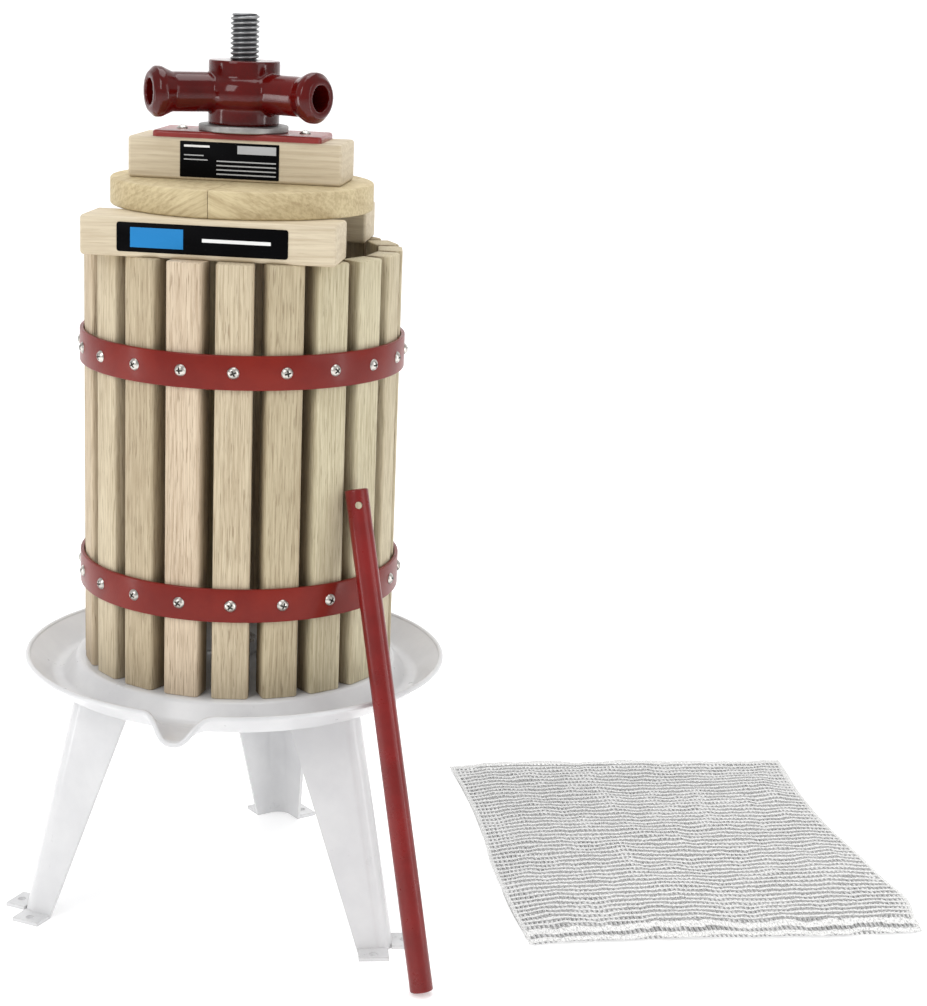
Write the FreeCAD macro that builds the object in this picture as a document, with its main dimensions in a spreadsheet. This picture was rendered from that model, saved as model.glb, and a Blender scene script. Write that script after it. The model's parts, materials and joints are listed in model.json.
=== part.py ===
import FreeCAD, Part
import math
import re
import os
import Sketcher

# Apple cider press: a slatted oak basket on a dished steel tray with three legs. A fixed threaded
# spindle rises through the basket, and a three-armed nut, turned with a loose lever, drives a stack
# of beech blocks down it. The origin is on the spindle's axis at floor level, +Z is up, and a turn
# is measured about +Z from the front, which is -Y. All sizes are in millimetres.

doc = FreeCAD.newDocument("CiderPress")
sheet = doc.addObject("Spreadsheet::Sheet", "Sizes")

SIZES = {
    # basket
    "slat_count": 20, "slat_width": 22.75, "slat_thick": 15.5, "slat_height": 270.0,
    "slat_round": 2.5, "slat_turn": -3.19, "basket_across": 200.0, "basket_shift": 1.7,
    "hoop_play": 0.306944, "hoop_thick": 2.5, "hoop_wide": 21.0, "hoop_lower": 61.0,
    "hoop_upper": 205.7, "screw_head": 7.4, "screw_head_high": 2.2, "screw_shank": 3.5,
    "screw_length": 14.0, "screw_fit": 0.05,
    # tray, whose bed reaches a little past the basket
    "bed_height": 170.0, "bed_margin": 4.0, "tray_sheet": 2.0, "slope_factor": 1.15,
    "slope_run": 9.0, "channel_floor": 6.0, "wall_run": 18.35, "channel_drop": 13.0,
    "channel_round": 5.0, "rim_rise": 1.6, "rim_bead": 3.4, "spout_turn": -14.6, "spout_root": 21.0,
    "spout_tip": 13.0, "spout_lift": 2.0, "spout_out": 10.15,
    # legs, bolted under the bed
    "leg_turn": 45.4, "leg_top_out": 3.5, "leg_splay": 37.8, "leg_top_flange": 50.0,
    "leg_foot_flange": 23.5, "leg_sheet": 2.5, "leg_round": 12.0, "leg_gap": 0.1, "tab_reach": 13.0,
    "tab_start": 4.0, "tab_hole": 5.0, "tab_hole_out": 7.15, "bolt_radius": 76.0,
    "bolt_across": 6.0, "bolt_head": 12.0, "bolt_head_high": 3.2, "bolt_length": 16.0,
    "nut_across": 10.0, "nut_high": 5.0, "bolt_fit": 0.05,
    # spindle
    "spindle_across": 17.8, "spindle_top": 582.5, "spindle_foot": 146.0, "spindle_fit": 0.05,
    "spindle_chamfer": 1.246, "spindle_nut_across": 27.0, "spindle_nut_high": 9.0,
    "spindle_washer": 34.0, "spindle_washer_thick": 2.5,
    # pressing stack, whose discs go down inside the basket
    "block_length": 155.0, "block_shift": -3.0, "block_wide": 40.0, "block_high": 24.0,
    "block_round": 2.2, "blocks_turn": -11.5, "front_block_near": 48.5, "rear_block_near": 30.0,
    "disc_play": 2.0, "disc_high": 17.0, "disc_gap": 0.4, "disc_round": 1.6, "discs_turn": -14.5,
    "top_block_length": 134.0, "top_block_wide": 50.0, "top_block_high": 25.5,
    "top_block_shift": -0.5, "wood_play": 1.5, "plate_length": 106.0, "plate_wide": 46.0,
    "plate_high": 4.0, "plate_round": 1.8, "plate_screw_pitch": 78.0, "thrust_across": 56.0,
    "thrust_high": 4.0, "label_thick": 0.4, "label_length": 103.5, "label_high": 17.5,
    "label_offset": -6.0, "top_label_length": 62.0, "top_label_high": 22.0,
    "top_label_offset": -3.5,
    # hub
    "boss_across": 44.4, "hub_high": 39.5, "arm_height": 19.8, "arm_across": 24.4,
    "arm_reach": 61.5, "mouth_across": 31.0, "mouth_long": 11.0, "belt_radius": 14.5,
    "socket_across": 16.0, "socket_deep": 42.0, "hub_turn": 49.5,
    # lever, which stands on the floor beside the basket, and filter bag
    "lever_across": 14.5, "lever_length": 312.0, "lever_hole": 4.5, "lever_hole_down": 10.0,
    "lever_off": 8.0, "lever_run": 90.5, "lever_foot_turn": 36.0, "lever_top_turn": 42.0,
    "bag_wide": 266.0, "bag_long": 318.0, "bag_thick": 4.0, "bag_left": 192.0, "bag_front": -98.0,
    "bag_turn": 4.0,
}
# sizes that follow from the others
FOLLOWS = {
    "hoop_inner": "sqrt((basket_across / 2)^2 + (slat_width / 2 - slat_round)^2) + hoop_play",
    "bed_across": "basket_across + bed_margin * 2",
    "channel_inner": "bed_across / 2 + slope_run",
    "channel_outer": "channel_inner + channel_floor",
    "tray_across": "2 * (channel_outer + wall_run)",
    "spout_reach": "tray_across / 2 + spout_out",
    "leg_top_radius": "bed_across / 2 + leg_top_out",
    "leg_foot_radius": "leg_top_radius + leg_splay",
    "disc_across": "basket_across - 2 * slat_thick - 2 * disc_play",
    "lever_top_radius": "basket_across / 2 + lever_off",
    "lever_foot_radius": "lever_top_radius + lever_run",
}
for row, (alias, number) in enumerate(SIZES.items(), start=1):
    sheet.set("A%d" % row, alias)
    sheet.set("B%d" % row, str(number))
    sheet.setAlias("B%d" % row, alias)
doc.recompute()

sub_parts = []


def expand(text):
    """Turn the size names of an expression into references to the sheet's cells."""
    def reference(word):
        name = word.group()
        if name in FOLLOWS:
            return "(%s)" % expand(FOLLOWS[name])
        return "Sizes." + name if name in SIZES else name
    return re.sub("[a-z_]+", reference, text)


def size(text):
    """The number that an expression of size names gives."""
    result = sheet.evalExpression(expand(text))
    return float(getattr(result, "Value", result))


def bind(feature, prop, text):
    feature.setExpression(prop, expand(text))


def place(feature, offset=("0", "0", "0"), turn="0"):
    """Stand a feature at an offset and turn it about the spindle's axis."""
    for axis, text in zip("xyz", offset):
        bind(feature, ".Placement.Base." + axis, text)
    feature.Placement.Rotation = FreeCAD.Rotation(FreeCAD.Vector(0, 0, 1), 1)
    bind(feature, ".Placement.Rotation.Angle", "(%s) * 1 deg" % turn)


def keep(feature, label):
    """Name a finished sub-part, which also names its file."""
    feature.Label = label
    sub_parts.append(feature)
    return feature


# ---- sketches and features -------------------------------------------------------------------

def new_body(name):
    return doc.addObject("PartDesign::Body", name)


def sketch_on(body, plane, lift="0"):
    """A sketch on one of the body's own origin planes, raised along that plane's normal."""
    sketch = body.newObject("Sketcher::SketchObject", body.Name + "Sketch")
    origin_plane = [f for f in body.Origin.OriginFeatures if f.Role == plane][0]
    sketch.AttachmentSupport = [(origin_plane, "")]
    sketch.MapMode = "FlatFace"
    bind(sketch, ".AttachmentOffset.Base.z", lift)
    return sketch


def pin_point(sketch, index, position, across, up):
    """Tie one point of the sketch to its two coordinates, each an expression."""
    for kind, text in (("DistanceX", across), ("DistanceY", up)):
        number = sketch.addConstraint(Sketcher.Constraint(kind, -1, 1, index, position, size(text)))
        bind(sketch, "Constraints[%d]" % number, text)


def polygon(sketch, points, arcs={}):
    """A closed outline through points whose coordinates are expressions. An entry of arcs makes
    the edge that leaves that point a round one, about a centre and with a radius and a sense."""
    spots = [FreeCAD.Vector(size(across), size(up), 0) for across, up in points]
    first = sketch.GeometryCount
    count = len(spots)
    ends = [(1, 2)] * count
    for n in range(count):
        start, finish = spots[n], spots[(n + 1) % count]
        if n in arcs:
            across, up, radius, sense = arcs[n]
            centre = FreeCAD.Vector(size(across), size(up), 0)
            chord = finish - start
            outward = FreeCAD.Vector(chord.y, -chord.x, 0).normalize() * size(radius)
            if sense == "left":
                middle, ends[n] = centre + outward, (1, 2)
            else:
                middle, ends[n] = centre - outward, (2, 1)
            sketch.addGeometry(Part.Arc(start, middle, finish), False)
        else:
            sketch.addGeometry(Part.LineSegment(start, finish), False)
    for n in range(count):
        following = (n + 1) % count
        sketch.addConstraint(Sketcher.Constraint(
            "Coincident", first + n, ends[n][1], first + following, ends[following][0]))
    for n, (across, up) in enumerate(points):
        pin_point(sketch, first + n, ends[n][0], across, up)
    for n, (across, up, *_) in arcs.items():
        chord = spots[(n + 1) % count] - spots[n]
        kind, text = ("DistanceX", across) if abs(chord.y) > abs(chord.x) else ("DistanceY", up)
        number = sketch.addConstraint(Sketcher.Constraint(kind, -1, 1, first + n, 3, size(text)))
        bind(sketch, "Constraints[%d]" % number, text)


def rectangle(sketch, left, right, low, high):
    polygon(sketch, [(left, low), (right, low), (right, high), (left, high)])


def circle(sketch, across, up, radius):
    centre = FreeCAD.Vector(size(across), size(up), 0)
    index = sketch.addGeometry(Part.Circle(centre, FreeCAD.Vector(0, 0, 1), size(radius)), False)
    pin_point(sketch, index, 3, across, up)
    number = sketch.addConstraint(Sketcher.Constraint("Radius", index, size(radius)))
    bind(sketch, "Constraints[%d]" % number, radius)


def extrude(body, kind, sketch, length, reverse=False, midplane=False):
    feature = body.newObject("PartDesign::" + kind, body.Name + kind)
    feature.Profile = sketch
    feature.Midplane = midplane
    feature.Reversed = reverse
    bind(feature, "Length", length)
    doc.recompute()
    return feature


def spin(body, kind, sketch, axis="V_Axis"):
    feature = body.newObject("PartDesign::" + kind, body.Name + kind)
    feature.Profile = sketch
    feature.ReferenceAxis = (sketch, [axis])
    feature.Angle = 360
    doc.recompute()
    return feature


def repeat(body, features, count):
    """Repeat features round the body's Z axis."""
    z_axis = [f for f in body.Origin.OriginFeatures if f.Role == "Z_Axis"][0]
    pattern = body.newObject("PartDesign::PolarPattern", body.Name + "Pattern")
    pattern.Originals = features
    pattern.Axis = (z_axis, [""])
    pattern.Angle = 360
    bind(pattern, "Occurrences", count)
    body.Tip = pattern
    doc.recompute()
    return pattern


def round_edges(body, radius, test):
    """Fillet the edges of the body's last feature that pass the test."""
    base = body.Tip
    names = ["Edge%d" % (n + 1) for n, edge in enumerate(base.Shape.Edges) if test(edge)]
    fillet = body.newObject("PartDesign::Fillet", body.Name + "Fillet")
    fillet.Base = (base, names)
    bind(fillet, "Radius", radius)
    doc.recompute()
    return fillet


def is_upright(edge):
    low, high = edge.BoundBox.ZMin, edge.BoundBox.ZMax
    return high - low > 0.5 * edge.Length and len(edge.Vertexes) == 2


def is_round(edge, radius):
    return edge.Curve.TypeId == "Part::GeomCircle" and abs(edge.Curve.Radius - radius) < 0.01


def spot(radius, turn, height=0.0):
    """The point at a radius and a turn from the front, about the spindle's axis."""
    angle = math.radians(turn)
    return FreeCAD.Vector(radius * math.sin(angle), -radius * math.cos(angle), height)


# ---- tray: pressed steel dish with a raised bed, a juice channel and a pouring lip -------------

def make_tray():
    dish = new_body("Dish")
    profile = sketch_on(dish, "XZ_Plane")
    hole = "spindle_across / 2 + spindle_fit"
    wall = "tray_sheet * slope_factor"
    polygon(profile, [
        (hole, "0"),
        ("bed_across / 2", "0"),
        ("channel_inner", "-channel_drop"),
        ("channel_outer", "-channel_drop"),
        ("tray_across / 2 - rim_bead / 2", "rim_rise"),
        ("tray_across / 2", "rim_rise"),
        ("channel_outer + tray_sheet / 3", "-channel_drop - tray_sheet"),
        ("channel_inner - tray_sheet / 3", "-channel_drop - tray_sheet"),
        ("bed_across / 2 - %s" % wall, "-tray_sheet"),
        (hole, "-tray_sheet"),
    ])
    spin(dish, "Revolution", profile)
    corner_radii = [size("bed_across / 2"), size("channel_inner"), size("channel_outer")]
    round_edges(dish, "channel_round", lambda e: any(
        is_round(e, r) and e.BoundBox.ZMax < 0.01 for r in corner_radii))

    # three bolt holes through the bed, one over each leg
    holes = sketch_on(dish, "XY_Plane")
    circle(holes, "0", "0 - bolt_radius", "bolt_across / 2 + bolt_fit")
    pocket = extrude(dish, "Pocket", holes, "tray_sheet")
    repeat(dish, [pocket], "3")
    bind(dish, ".Placement.Base.z", "bed_height")
    dish.Placement.Rotation = FreeCAD.Rotation(FreeCAD.Vector(0, 0, 1), 1)
    bind(dish, ".Placement.Rotation.Angle", "leg_turn * 1 deg")

    # the rolled bead round the rim
    bead = doc.addObject("Part::Torus", "RimBead")
    bind(bead, "Radius1", "tray_across / 2 - rim_bead / 2")
    bind(bead, "Radius2", "rim_bead / 2")
    bind(bead, ".Placement.Base.z", "bed_height + rim_rise - rim_bead / 2")

    # the lip is a half cone of sheet that runs out of the channel
    def lip_cone(name, extra, start, reach):
        cone = doc.addObject("Part::Cone", name)
        bind(cone, "Radius1", "spout_root + (%s)" % extra)
        bind(cone, "Radius2", "spout_tip + (%s)" % extra)
        bind(cone, "Height", "(%s) - (%s)" % (reach, start))
        drop = size("spout_root - spout_tip - spout_lift")
        length = size(reach) - size(start)
        turn = size("spout_turn")
        down = math.degrees(math.atan2(drop, length))
        centre = size("bed_height - channel_drop + spout_root")
        outward = FreeCAD.Rotation(FreeCAD.Vector(0, 0, 1), spot(1, turn))
        side = spot(1, turn + 90)
        tip = FreeCAD.Rotation(side, down)
        cone.Placement = FreeCAD.Placement(spot(size(start), turn, centre), tip.multiply(outward))
        return cone

    outer = lip_cone("LipOutside", "tray_sheet", "channel_inner", "spout_reach")
    inner = lip_cone("LipInside", "0", "channel_inner - 1", "spout_reach + 1")
    above = doc.addObject("Part::Cylinder", "AboveRim")
    bind(above, "Radius", "tray_across")
    bind(above, "Height", "tray_across")
    bind(above, ".Placement.Base.z", "bed_height + rim_rise")
    trough = doc.addObject("Part::Cut", "LipTrimmed")
    trough.Base = outer
    trough.Tool = above
    joined = doc.addObject("Part::MultiFuse", "TrayJoined")
    joined.Shapes = [dish, bead, trough]
    tray = doc.addObject("Part::Cut", "Tray")
    tray.Base = joined
    tray.Tool = inner
    keep(tray, "tray")


# ---- legs: tapered angle sections of pressed sheet, each bolted under the bed -------------------

def angle_section(sketch, radius, flange):
    """The outline of an L section whose round crown points along +X at the given radius."""
    half = "(%s) * sqrt(0.5)" % flange
    skin = "leg_sheet * sqrt(0.5)"
    centre = "%s - leg_round * sqrt(2)" % radius
    bend = "leg_round * sqrt(0.5)"
    inner_bend = "(leg_round - leg_sheet) * sqrt(0.5)"
    polygon(sketch, [
        ("%s + %s" % (centre, bend), "0 - " + bend),
        ("%s + %s" % (centre, bend), bend),
        ("%s - %s" % (radius, half), half),
        ("%s - %s - %s" % (radius, half, skin), "%s - %s" % (half, skin)),
        ("%s + %s" % (centre, inner_bend), inner_bend),
        ("%s + %s" % (centre, inner_bend), "0 - " + inner_bend),
        ("%s - %s - %s" % (radius, half, skin), "%s - %s" % (skin, half)),
        ("%s - %s" % (radius, half), "0 - %s" % half),
    ], {0: (centre, "0", "leg_round", "left"), 4: (centre, "0", "leg_round - leg_sheet", "right")})


def make_leg(name, turn):
    leg = new_body(name)
    top = "bed_height - tray_sheet - leg_gap"
    foot_section = sketch_on(leg, "XY_Plane")
    angle_section(foot_section, "leg_foot_radius", "leg_foot_flange")
    top_section = sketch_on(leg, "XY_Plane", top)
    angle_section(top_section, "leg_top_radius", "leg_top_flange")
    loft = leg.newObject("PartDesign::AdditiveLoft", name + "Loft")
    loft.Profile = foot_section
    loft.Sections = [top_section]
    loft.Ruled = True
    doc.recompute()

    # a gusset folded in at the top takes the bolt
    reach = "leg_top_flange * sqrt(0.5)"
    gusset = sketch_on(leg, "XY_Plane", top)
    polygon(gusset, [
        ("leg_top_radius - leg_round", "0"),
        ("leg_top_radius - %s - leg_sheet * sqrt(0.5)" % reach, "%s - leg_sheet * sqrt(0.5)" % reach),
        ("leg_top_radius - %s - leg_sheet * sqrt(0.5)" % reach, "leg_sheet * sqrt(0.5) - %s" % reach),
    ])
    extrude(leg, "Pad", gusset, "leg_sheet", reverse=True)
    hole = sketch_on(leg, "XY_Plane", top)
    circle(hole, "bolt_radius", "0", "bolt_across / 2 + bolt_fit")
    extrude(leg, "Pocket", hole, "leg_sheet")

    # each flange ends in a tab bent outwards, with a hole for fixing the press down
    for side in (1, -1):
        tab = sketch_on(leg, "XY_Plane")
        near, far, out = "tab_start", "leg_foot_flange", "tab_reach"
        corners = []
        for along, outward in ((near, "-leg_sheet / 2"), (near, out), (far, out), (far, "-leg_sheet / 2")):
            across = "leg_foot_radius + (%s - %s) * sqrt(0.5)" % (outward, along)
            up = "(%s + %s) * sqrt(0.5) * (%d)" % (along, outward, side)
            corners.append((across, up))
        polygon(tab, corners)
        extrude(leg, "Pad", tab, "leg_sheet")
        hole = sketch_on(leg, "XY_Plane")
        along = "(tab_start + leg_foot_flange) / 2"
        circle(hole, "leg_foot_radius + (tab_hole_out - %s) * sqrt(0.5)" % along,
               "(tab_hole_out + %s) * sqrt(0.5) * (%d)" % (along, side), "tab_hole / 2")
        extrude(leg, "Pocket", hole, "leg_sheet", reverse=True)

    # the top is cut away round the tray's channel, with a small gap
    relief = sketch_on(leg, "XZ_Plane")
    shelf = "bed_height - channel_drop - tray_sheet - leg_gap"
    inside = "bed_across / 2 - slope_factor * tray_sheet - leg_gap * 3"
    polygon(relief, [
        (inside, "bed_height + 1"),
        (inside, "bed_height - tray_sheet - channel_round / 4"),
        ("channel_inner - tray_sheet / 3 - leg_gap * 3", shelf),
        ("tray_across", shelf),
        ("tray_across", "bed_height + 1"),
    ])
    spin(leg, "Groove", relief)
    place(leg, turn="%s - 90" % turn)
    keep(leg, name.lower())


# ---- fasteners: each kind is one group of equal solids ------------------------------------------

def group(label, shapes):
    """One node made of several equal, separate solids."""
    feature = doc.addObject("Part::Feature", label.title().replace("_", ""))
    feature.Shape = Part.makeCompound(shapes)
    feature.Placement = FreeCAD.Placement()
    return keep(feature, label)


def domed_screw(head_radius, head_high, shank_radius, length, cross):
    """A screw along +Z: domed head above the origin with a cross recess, shank below."""
    dome = (head_radius ** 2 + head_high ** 2) / (2 * head_high)
    ball = Part.makeSphere(dome, FreeCAD.Vector(0, 0, head_high - dome))
    head = ball.common(Part.makeCylinder(head_radius, head_high))
    shank = Part.makeCylinder(shank_radius, length, FreeCAD.Vector(0, 0, -length))
    screw = head.fuse(shank)
    arm, blade = head_radius * 0.55, head_radius * 0.2
    for wide, deep in ((arm, blade), (blade, arm)):
        corner = FreeCAD.Vector(-wide, -deep, head_high - cross)
        screw = screw.cut(Part.makeBox(2 * wide, 2 * deep, cross + 1, corner))
    return screw.removeSplitter()


def hexagon_nut(across, high, bore_radius):
    corners = [FreeCAD.Rotation(FreeCAD.Vector(0, 0, 1), 60 * n).multVec(
        FreeCAD.Vector(across / math.sqrt(3), 0, 0)) for n in range(7)]
    prism = Part.Face(Part.makePolygon(corners)).extrude(FreeCAD.Vector(0, 0, high))
    rim = Part.makeCone(across * 0.5 + high, across * 0.46, high)
    return prism.common(rim).cut(Part.makeCylinder(bore_radius, high))


def make_leg_fasteners():
    bed, sheet_thick = size("bed_height"), size("tray_sheet")
    bolt = domed_screw(size("bolt_head / 2"), size("bolt_head_high"), size("bolt_across / 2"),
                       size("bolt_length"), size("bolt_head_high / 2"))
    nut_top = bed - sheet_thick - size("leg_gap + leg_sheet")
    nut = hexagon_nut(size("nut_across"), size("nut_high"), size("bolt_across / 2 + bolt_fit"))
    bolts, nuts = [], []
    for n in range(3):
        turn = size("leg_turn") + 120 * n
        bolts.append(bolt.translated(spot(size("bolt_radius"), turn, bed)))
        nuts.append(nut.translated(spot(size("bolt_radius"), turn, nut_top - size("nut_high"))))
    group("leg_bolts", bolts)
    group("leg_nuts", nuts)


def make_basket_screws(label, height):
    screw = domed_screw(size("screw_head / 2"), size("screw_head_high"), size("screw_shank / 2"),
                        size("screw_length"), size("screw_head_high * 0.6"))
    seat = size("hoop_inner + hoop_thick")
    screws = []
    for n in range(int(size("slat_count"))):
        turn = size("slat_turn") + 360 / size("slat_count") * n
        aim = FreeCAD.Rotation(FreeCAD.Vector(0, 0, 1), spot(1, turn))
        centre = FreeCAD.Vector(size("basket_shift"), 0, 0)
        position = FreeCAD.Placement(centre + spot(seat, turn, size(height)), aim)
        screws.append(screw.transformed(position.toMatrix()))
    group(label, screws)


# ---- spindle: a threaded bar clamped in the tray's bed between two nuts ---------------------------

def make_spindle():
    bar = doc.addObject("Part::Cylinder", "SpindleBar")
    bind(bar, "Radius", "spindle_across / 2")
    bind(bar, "Height", "spindle_top - spindle_foot")
    bind(bar, ".Placement.Base.z", "spindle_foot")
    spindle = doc.addObject("Part::Chamfer", "Spindle")
    spindle.Base = bar
    doc.recompute()
    rims = [n + 1 for n, edge in enumerate(bar.Shape.Edges) if is_round(edge, bar.Radius.Value)]
    bevel = size("spindle_chamfer")
    spindle.Edges = [(n, bevel, bevel) for n in rims]
    keep(spindle, "spindle")


def make_nut(label, bottom):
    nut = new_body(label.title().replace("_", ""))
    outline = sketch_on(nut, "XY_Plane")
    corner = "spindle_nut_across / sqrt(3)"
    polygon(outline, [("%s * cos(%d deg)" % (corner, 60 * n), "%s * sin(%d deg)" % (corner, 60 * n))
                      for n in range(6)])
    circle(outline, "0", "0", "spindle_across / 2 + spindle_fit")
    extrude(nut, "Pad", outline, "spindle_nut_high")
    place(nut, ("0", "0", bottom))
    keep(nut, label)


def make_ring(label, bottom, outer, inner, high, edge):
    """A flat washer with its outer edges eased."""
    ring = new_body(label.title().replace("_", ""))
    outline = sketch_on(ring, "XY_Plane")
    circle(outline, "0", "0", outer)
    circle(outline, "0", "0", inner)
    extrude(ring, "Pad", outline, high)
    round_edges(ring, edge, lambda e: is_round(e, size(outer)))
    place(ring, ("0", "0", bottom))
    keep(ring, label)


# ---- basket: upright slats screwed to two steel hoops ---------------------------------------------

def make_slat(number):
    slat = new_body("Slat%02d" % number)
    plan = sketch_on(slat, "XY_Plane")
    rectangle(plan, "-slat_width / 2", "slat_width / 2",
              "-basket_across / 2", "slat_thick - basket_across / 2")
    extrude(slat, "Pad", plan, "slat_height")
    front = -size("basket_across / 2")
    round_edges(slat, "slat_round", lambda e: e.BoundBox.YMax < front + 0.01)
    holes = sketch_on(slat, "XZ_Plane", "basket_across / 2")
    for height in ("hoop_lower", "hoop_upper"):
        circle(holes, "0", height, "screw_shank / 2 + screw_fit")
    extrude(slat, "Pocket", holes, "screw_length + basket_across / 2 - hoop_inner - hoop_thick + screw_fit")
    place(slat, ("basket_shift", "0", "bed_height"), "slat_turn + 360 / slat_count * %d" % number)
    keep(slat, "slat_%02d" % (number + 1))


def make_hoop(label, height):
    hoop = new_body(label.title().replace("_", ""))
    plan = sketch_on(hoop, "XY_Plane")
    circle(plan, "0", "0", "hoop_inner + hoop_thick")
    circle(plan, "0", "0", "hoop_inner")
    extrude(hoop, "Pad", plan, "hoop_wide", midplane=True)
    hole = sketch_on(hoop, "XZ_Plane", "basket_across / 2 - slat_thick")
    circle(hole, "0", "0", "screw_shank / 2 + screw_fit")
    pocket = extrude(hoop, "Pocket", hole, "slat_thick * 2", reverse=True)
    repeat(hoop, [pocket], "slat_count")
    place(hoop, ("basket_shift", "0", "bed_height + " + height), "slat_turn")
    keep(hoop, label)


# ---- pressing stack: two loose blocks, two half discs and the top block with its steel plate ------

STACK_FOOT = "bed_height + slat_height"
DISC_FOOT = STACK_FOOT + " + block_high"
TOP_FOOT = DISC_FOOT + " + disc_high"
PLATE_FOOT = TOP_FOOT + " + top_block_high"
THRUST_FOOT = PLATE_FOOT + " + plate_high"
HUB_FOOT = THRUST_FOOT + " + thrust_high"


def make_block(label, near, far):
    block = new_body(label.title().replace("_", ""))
    plan = sketch_on(block, "XY_Plane")
    rectangle(plan, "block_shift - block_length / 2", "block_shift + block_length / 2", near, far)
    extrude(block, "Pad", plan, "block_high")
    round_edges(block, "block_round", lambda e: True)
    place(block, ("0", "0", STACK_FOOT), "blocks_turn")
    keep(block, label)


def make_half_disc(label, side):
    """One half of the pressing disc, with a half-round notch for the spindle."""
    half = new_body(label.title().replace("_", ""))
    plan = sketch_on(half, "XY_Plane")
    circle(plan, "0", "0", "disc_across / 2")
    extrude(half, "Pad", plan, "disc_high")
    away = sketch_on(half, "XY_Plane")
    if side > 0:
        rectangle(away, "-disc_across", "disc_gap / 2", "-disc_across", "disc_across")
    else:
        rectangle(away, "-disc_gap / 2", "disc_across", "-disc_across", "disc_across")
    extrude(half, "Pocket", away, "disc_high", reverse=True)
    notch = sketch_on(half, "XY_Plane")
    circle(notch, "0", "0", "spindle_across / 2 + wood_play")
    extrude(half, "Pocket", notch, "disc_high", reverse=True)
    round_edges(half, "disc_round", lambda e: is_round(e, size("disc_across / 2")))
    place(half, ("0", "0", DISC_FOOT), "discs_turn")
    keep(half, label)


def make_top_block():
    block = new_body("TopBlock")
    plan = sketch_on(block, "XY_Plane")
    rectangle(plan, "top_block_shift - top_block_length / 2",
              "top_block_shift + top_block_length / 2",
              "-top_block_wide / 2", "top_block_wide / 2")
    extrude(block, "Pad", plan, "top_block_high")
    round_edges(block, "block_round", lambda e: True)
    holes = sketch_on(block, "XY_Plane", "top_block_high")
    circle(holes, "0", "0", "spindle_across / 2 + wood_play")
    extrude(block, "Pocket", holes, "top_block_high")
    pilots = sketch_on(block, "XY_Plane", "top_block_high")
    for side in (1, -1):
        circle(pilots, "plate_screw_pitch / 2 * (%d)" % side, "0", "screw_shank / 2 + screw_fit")
    extrude(block, "Pocket", pilots, "screw_length - plate_high + screw_fit")
    place(block, ("0", "0", TOP_FOOT), "blocks_turn")
    keep(block, "top_block")


def make_plate():
    plate = new_body("PressurePlate")
    plan = sketch_on(plate, "XY_Plane")
    rectangle(plan, "-plate_length / 2", "plate_length / 2", "-plate_wide / 2", "plate_wide / 2")
    extrude(plate, "Pad", plan, "plate_high")
    round_edges(plate, "plate_round * 2", is_upright)
    top = size("plate_high")
    round_edges(plate, "plate_round", lambda e: e.BoundBox.ZMin > top - 0.01)
    holes = sketch_on(plate, "XY_Plane", "plate_high")
    circle(holes, "0", "0", "spindle_across / 2 + wood_play")
    for side in (1, -1):
        circle(holes, "plate_screw_pitch / 2 * (%d)" % side, "0", "screw_shank / 2 + screw_fit")
    extrude(plate, "Pocket", holes, "plate_high")
    place(plate, ("0", "0", PLATE_FOOT), "blocks_turn")
    keep(plate, "pressure_plate")


def make_plate_screws():
    screw = domed_screw(size("screw_head / 2"), size("screw_head_high"), size("screw_shank / 2"),
                        size("screw_length"), size("screw_head_high * 0.6"))
    screws = []
    for side in (90, -90):
        turn = size("blocks_turn") + side
        screws.append(screw.translated(spot(size("plate_screw_pitch / 2"), turn, size(THRUST_FOOT))))
    group("plate_screws", screws)


def make_label(label, length, high, offset, face, middle):
    """A blank foil label on the front of a block."""
    foil = new_body(label.title().replace("_", ""))
    outline = sketch_on(foil, "XZ_Plane", face)
    rectangle(outline, "%s - %s / 2" % (offset, length), "%s + %s / 2" % (offset, length),
              "%s - %s / 2" % (middle, high), "%s + %s / 2" % (middle, high))
    extrude(foil, "Pad", outline, "label_thick")
    place(foil, turn="blocks_turn")
    keep(foil, label)


# ---- hub: cast nut with three arms, each ending in a socket for the lever --------------------------

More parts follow.
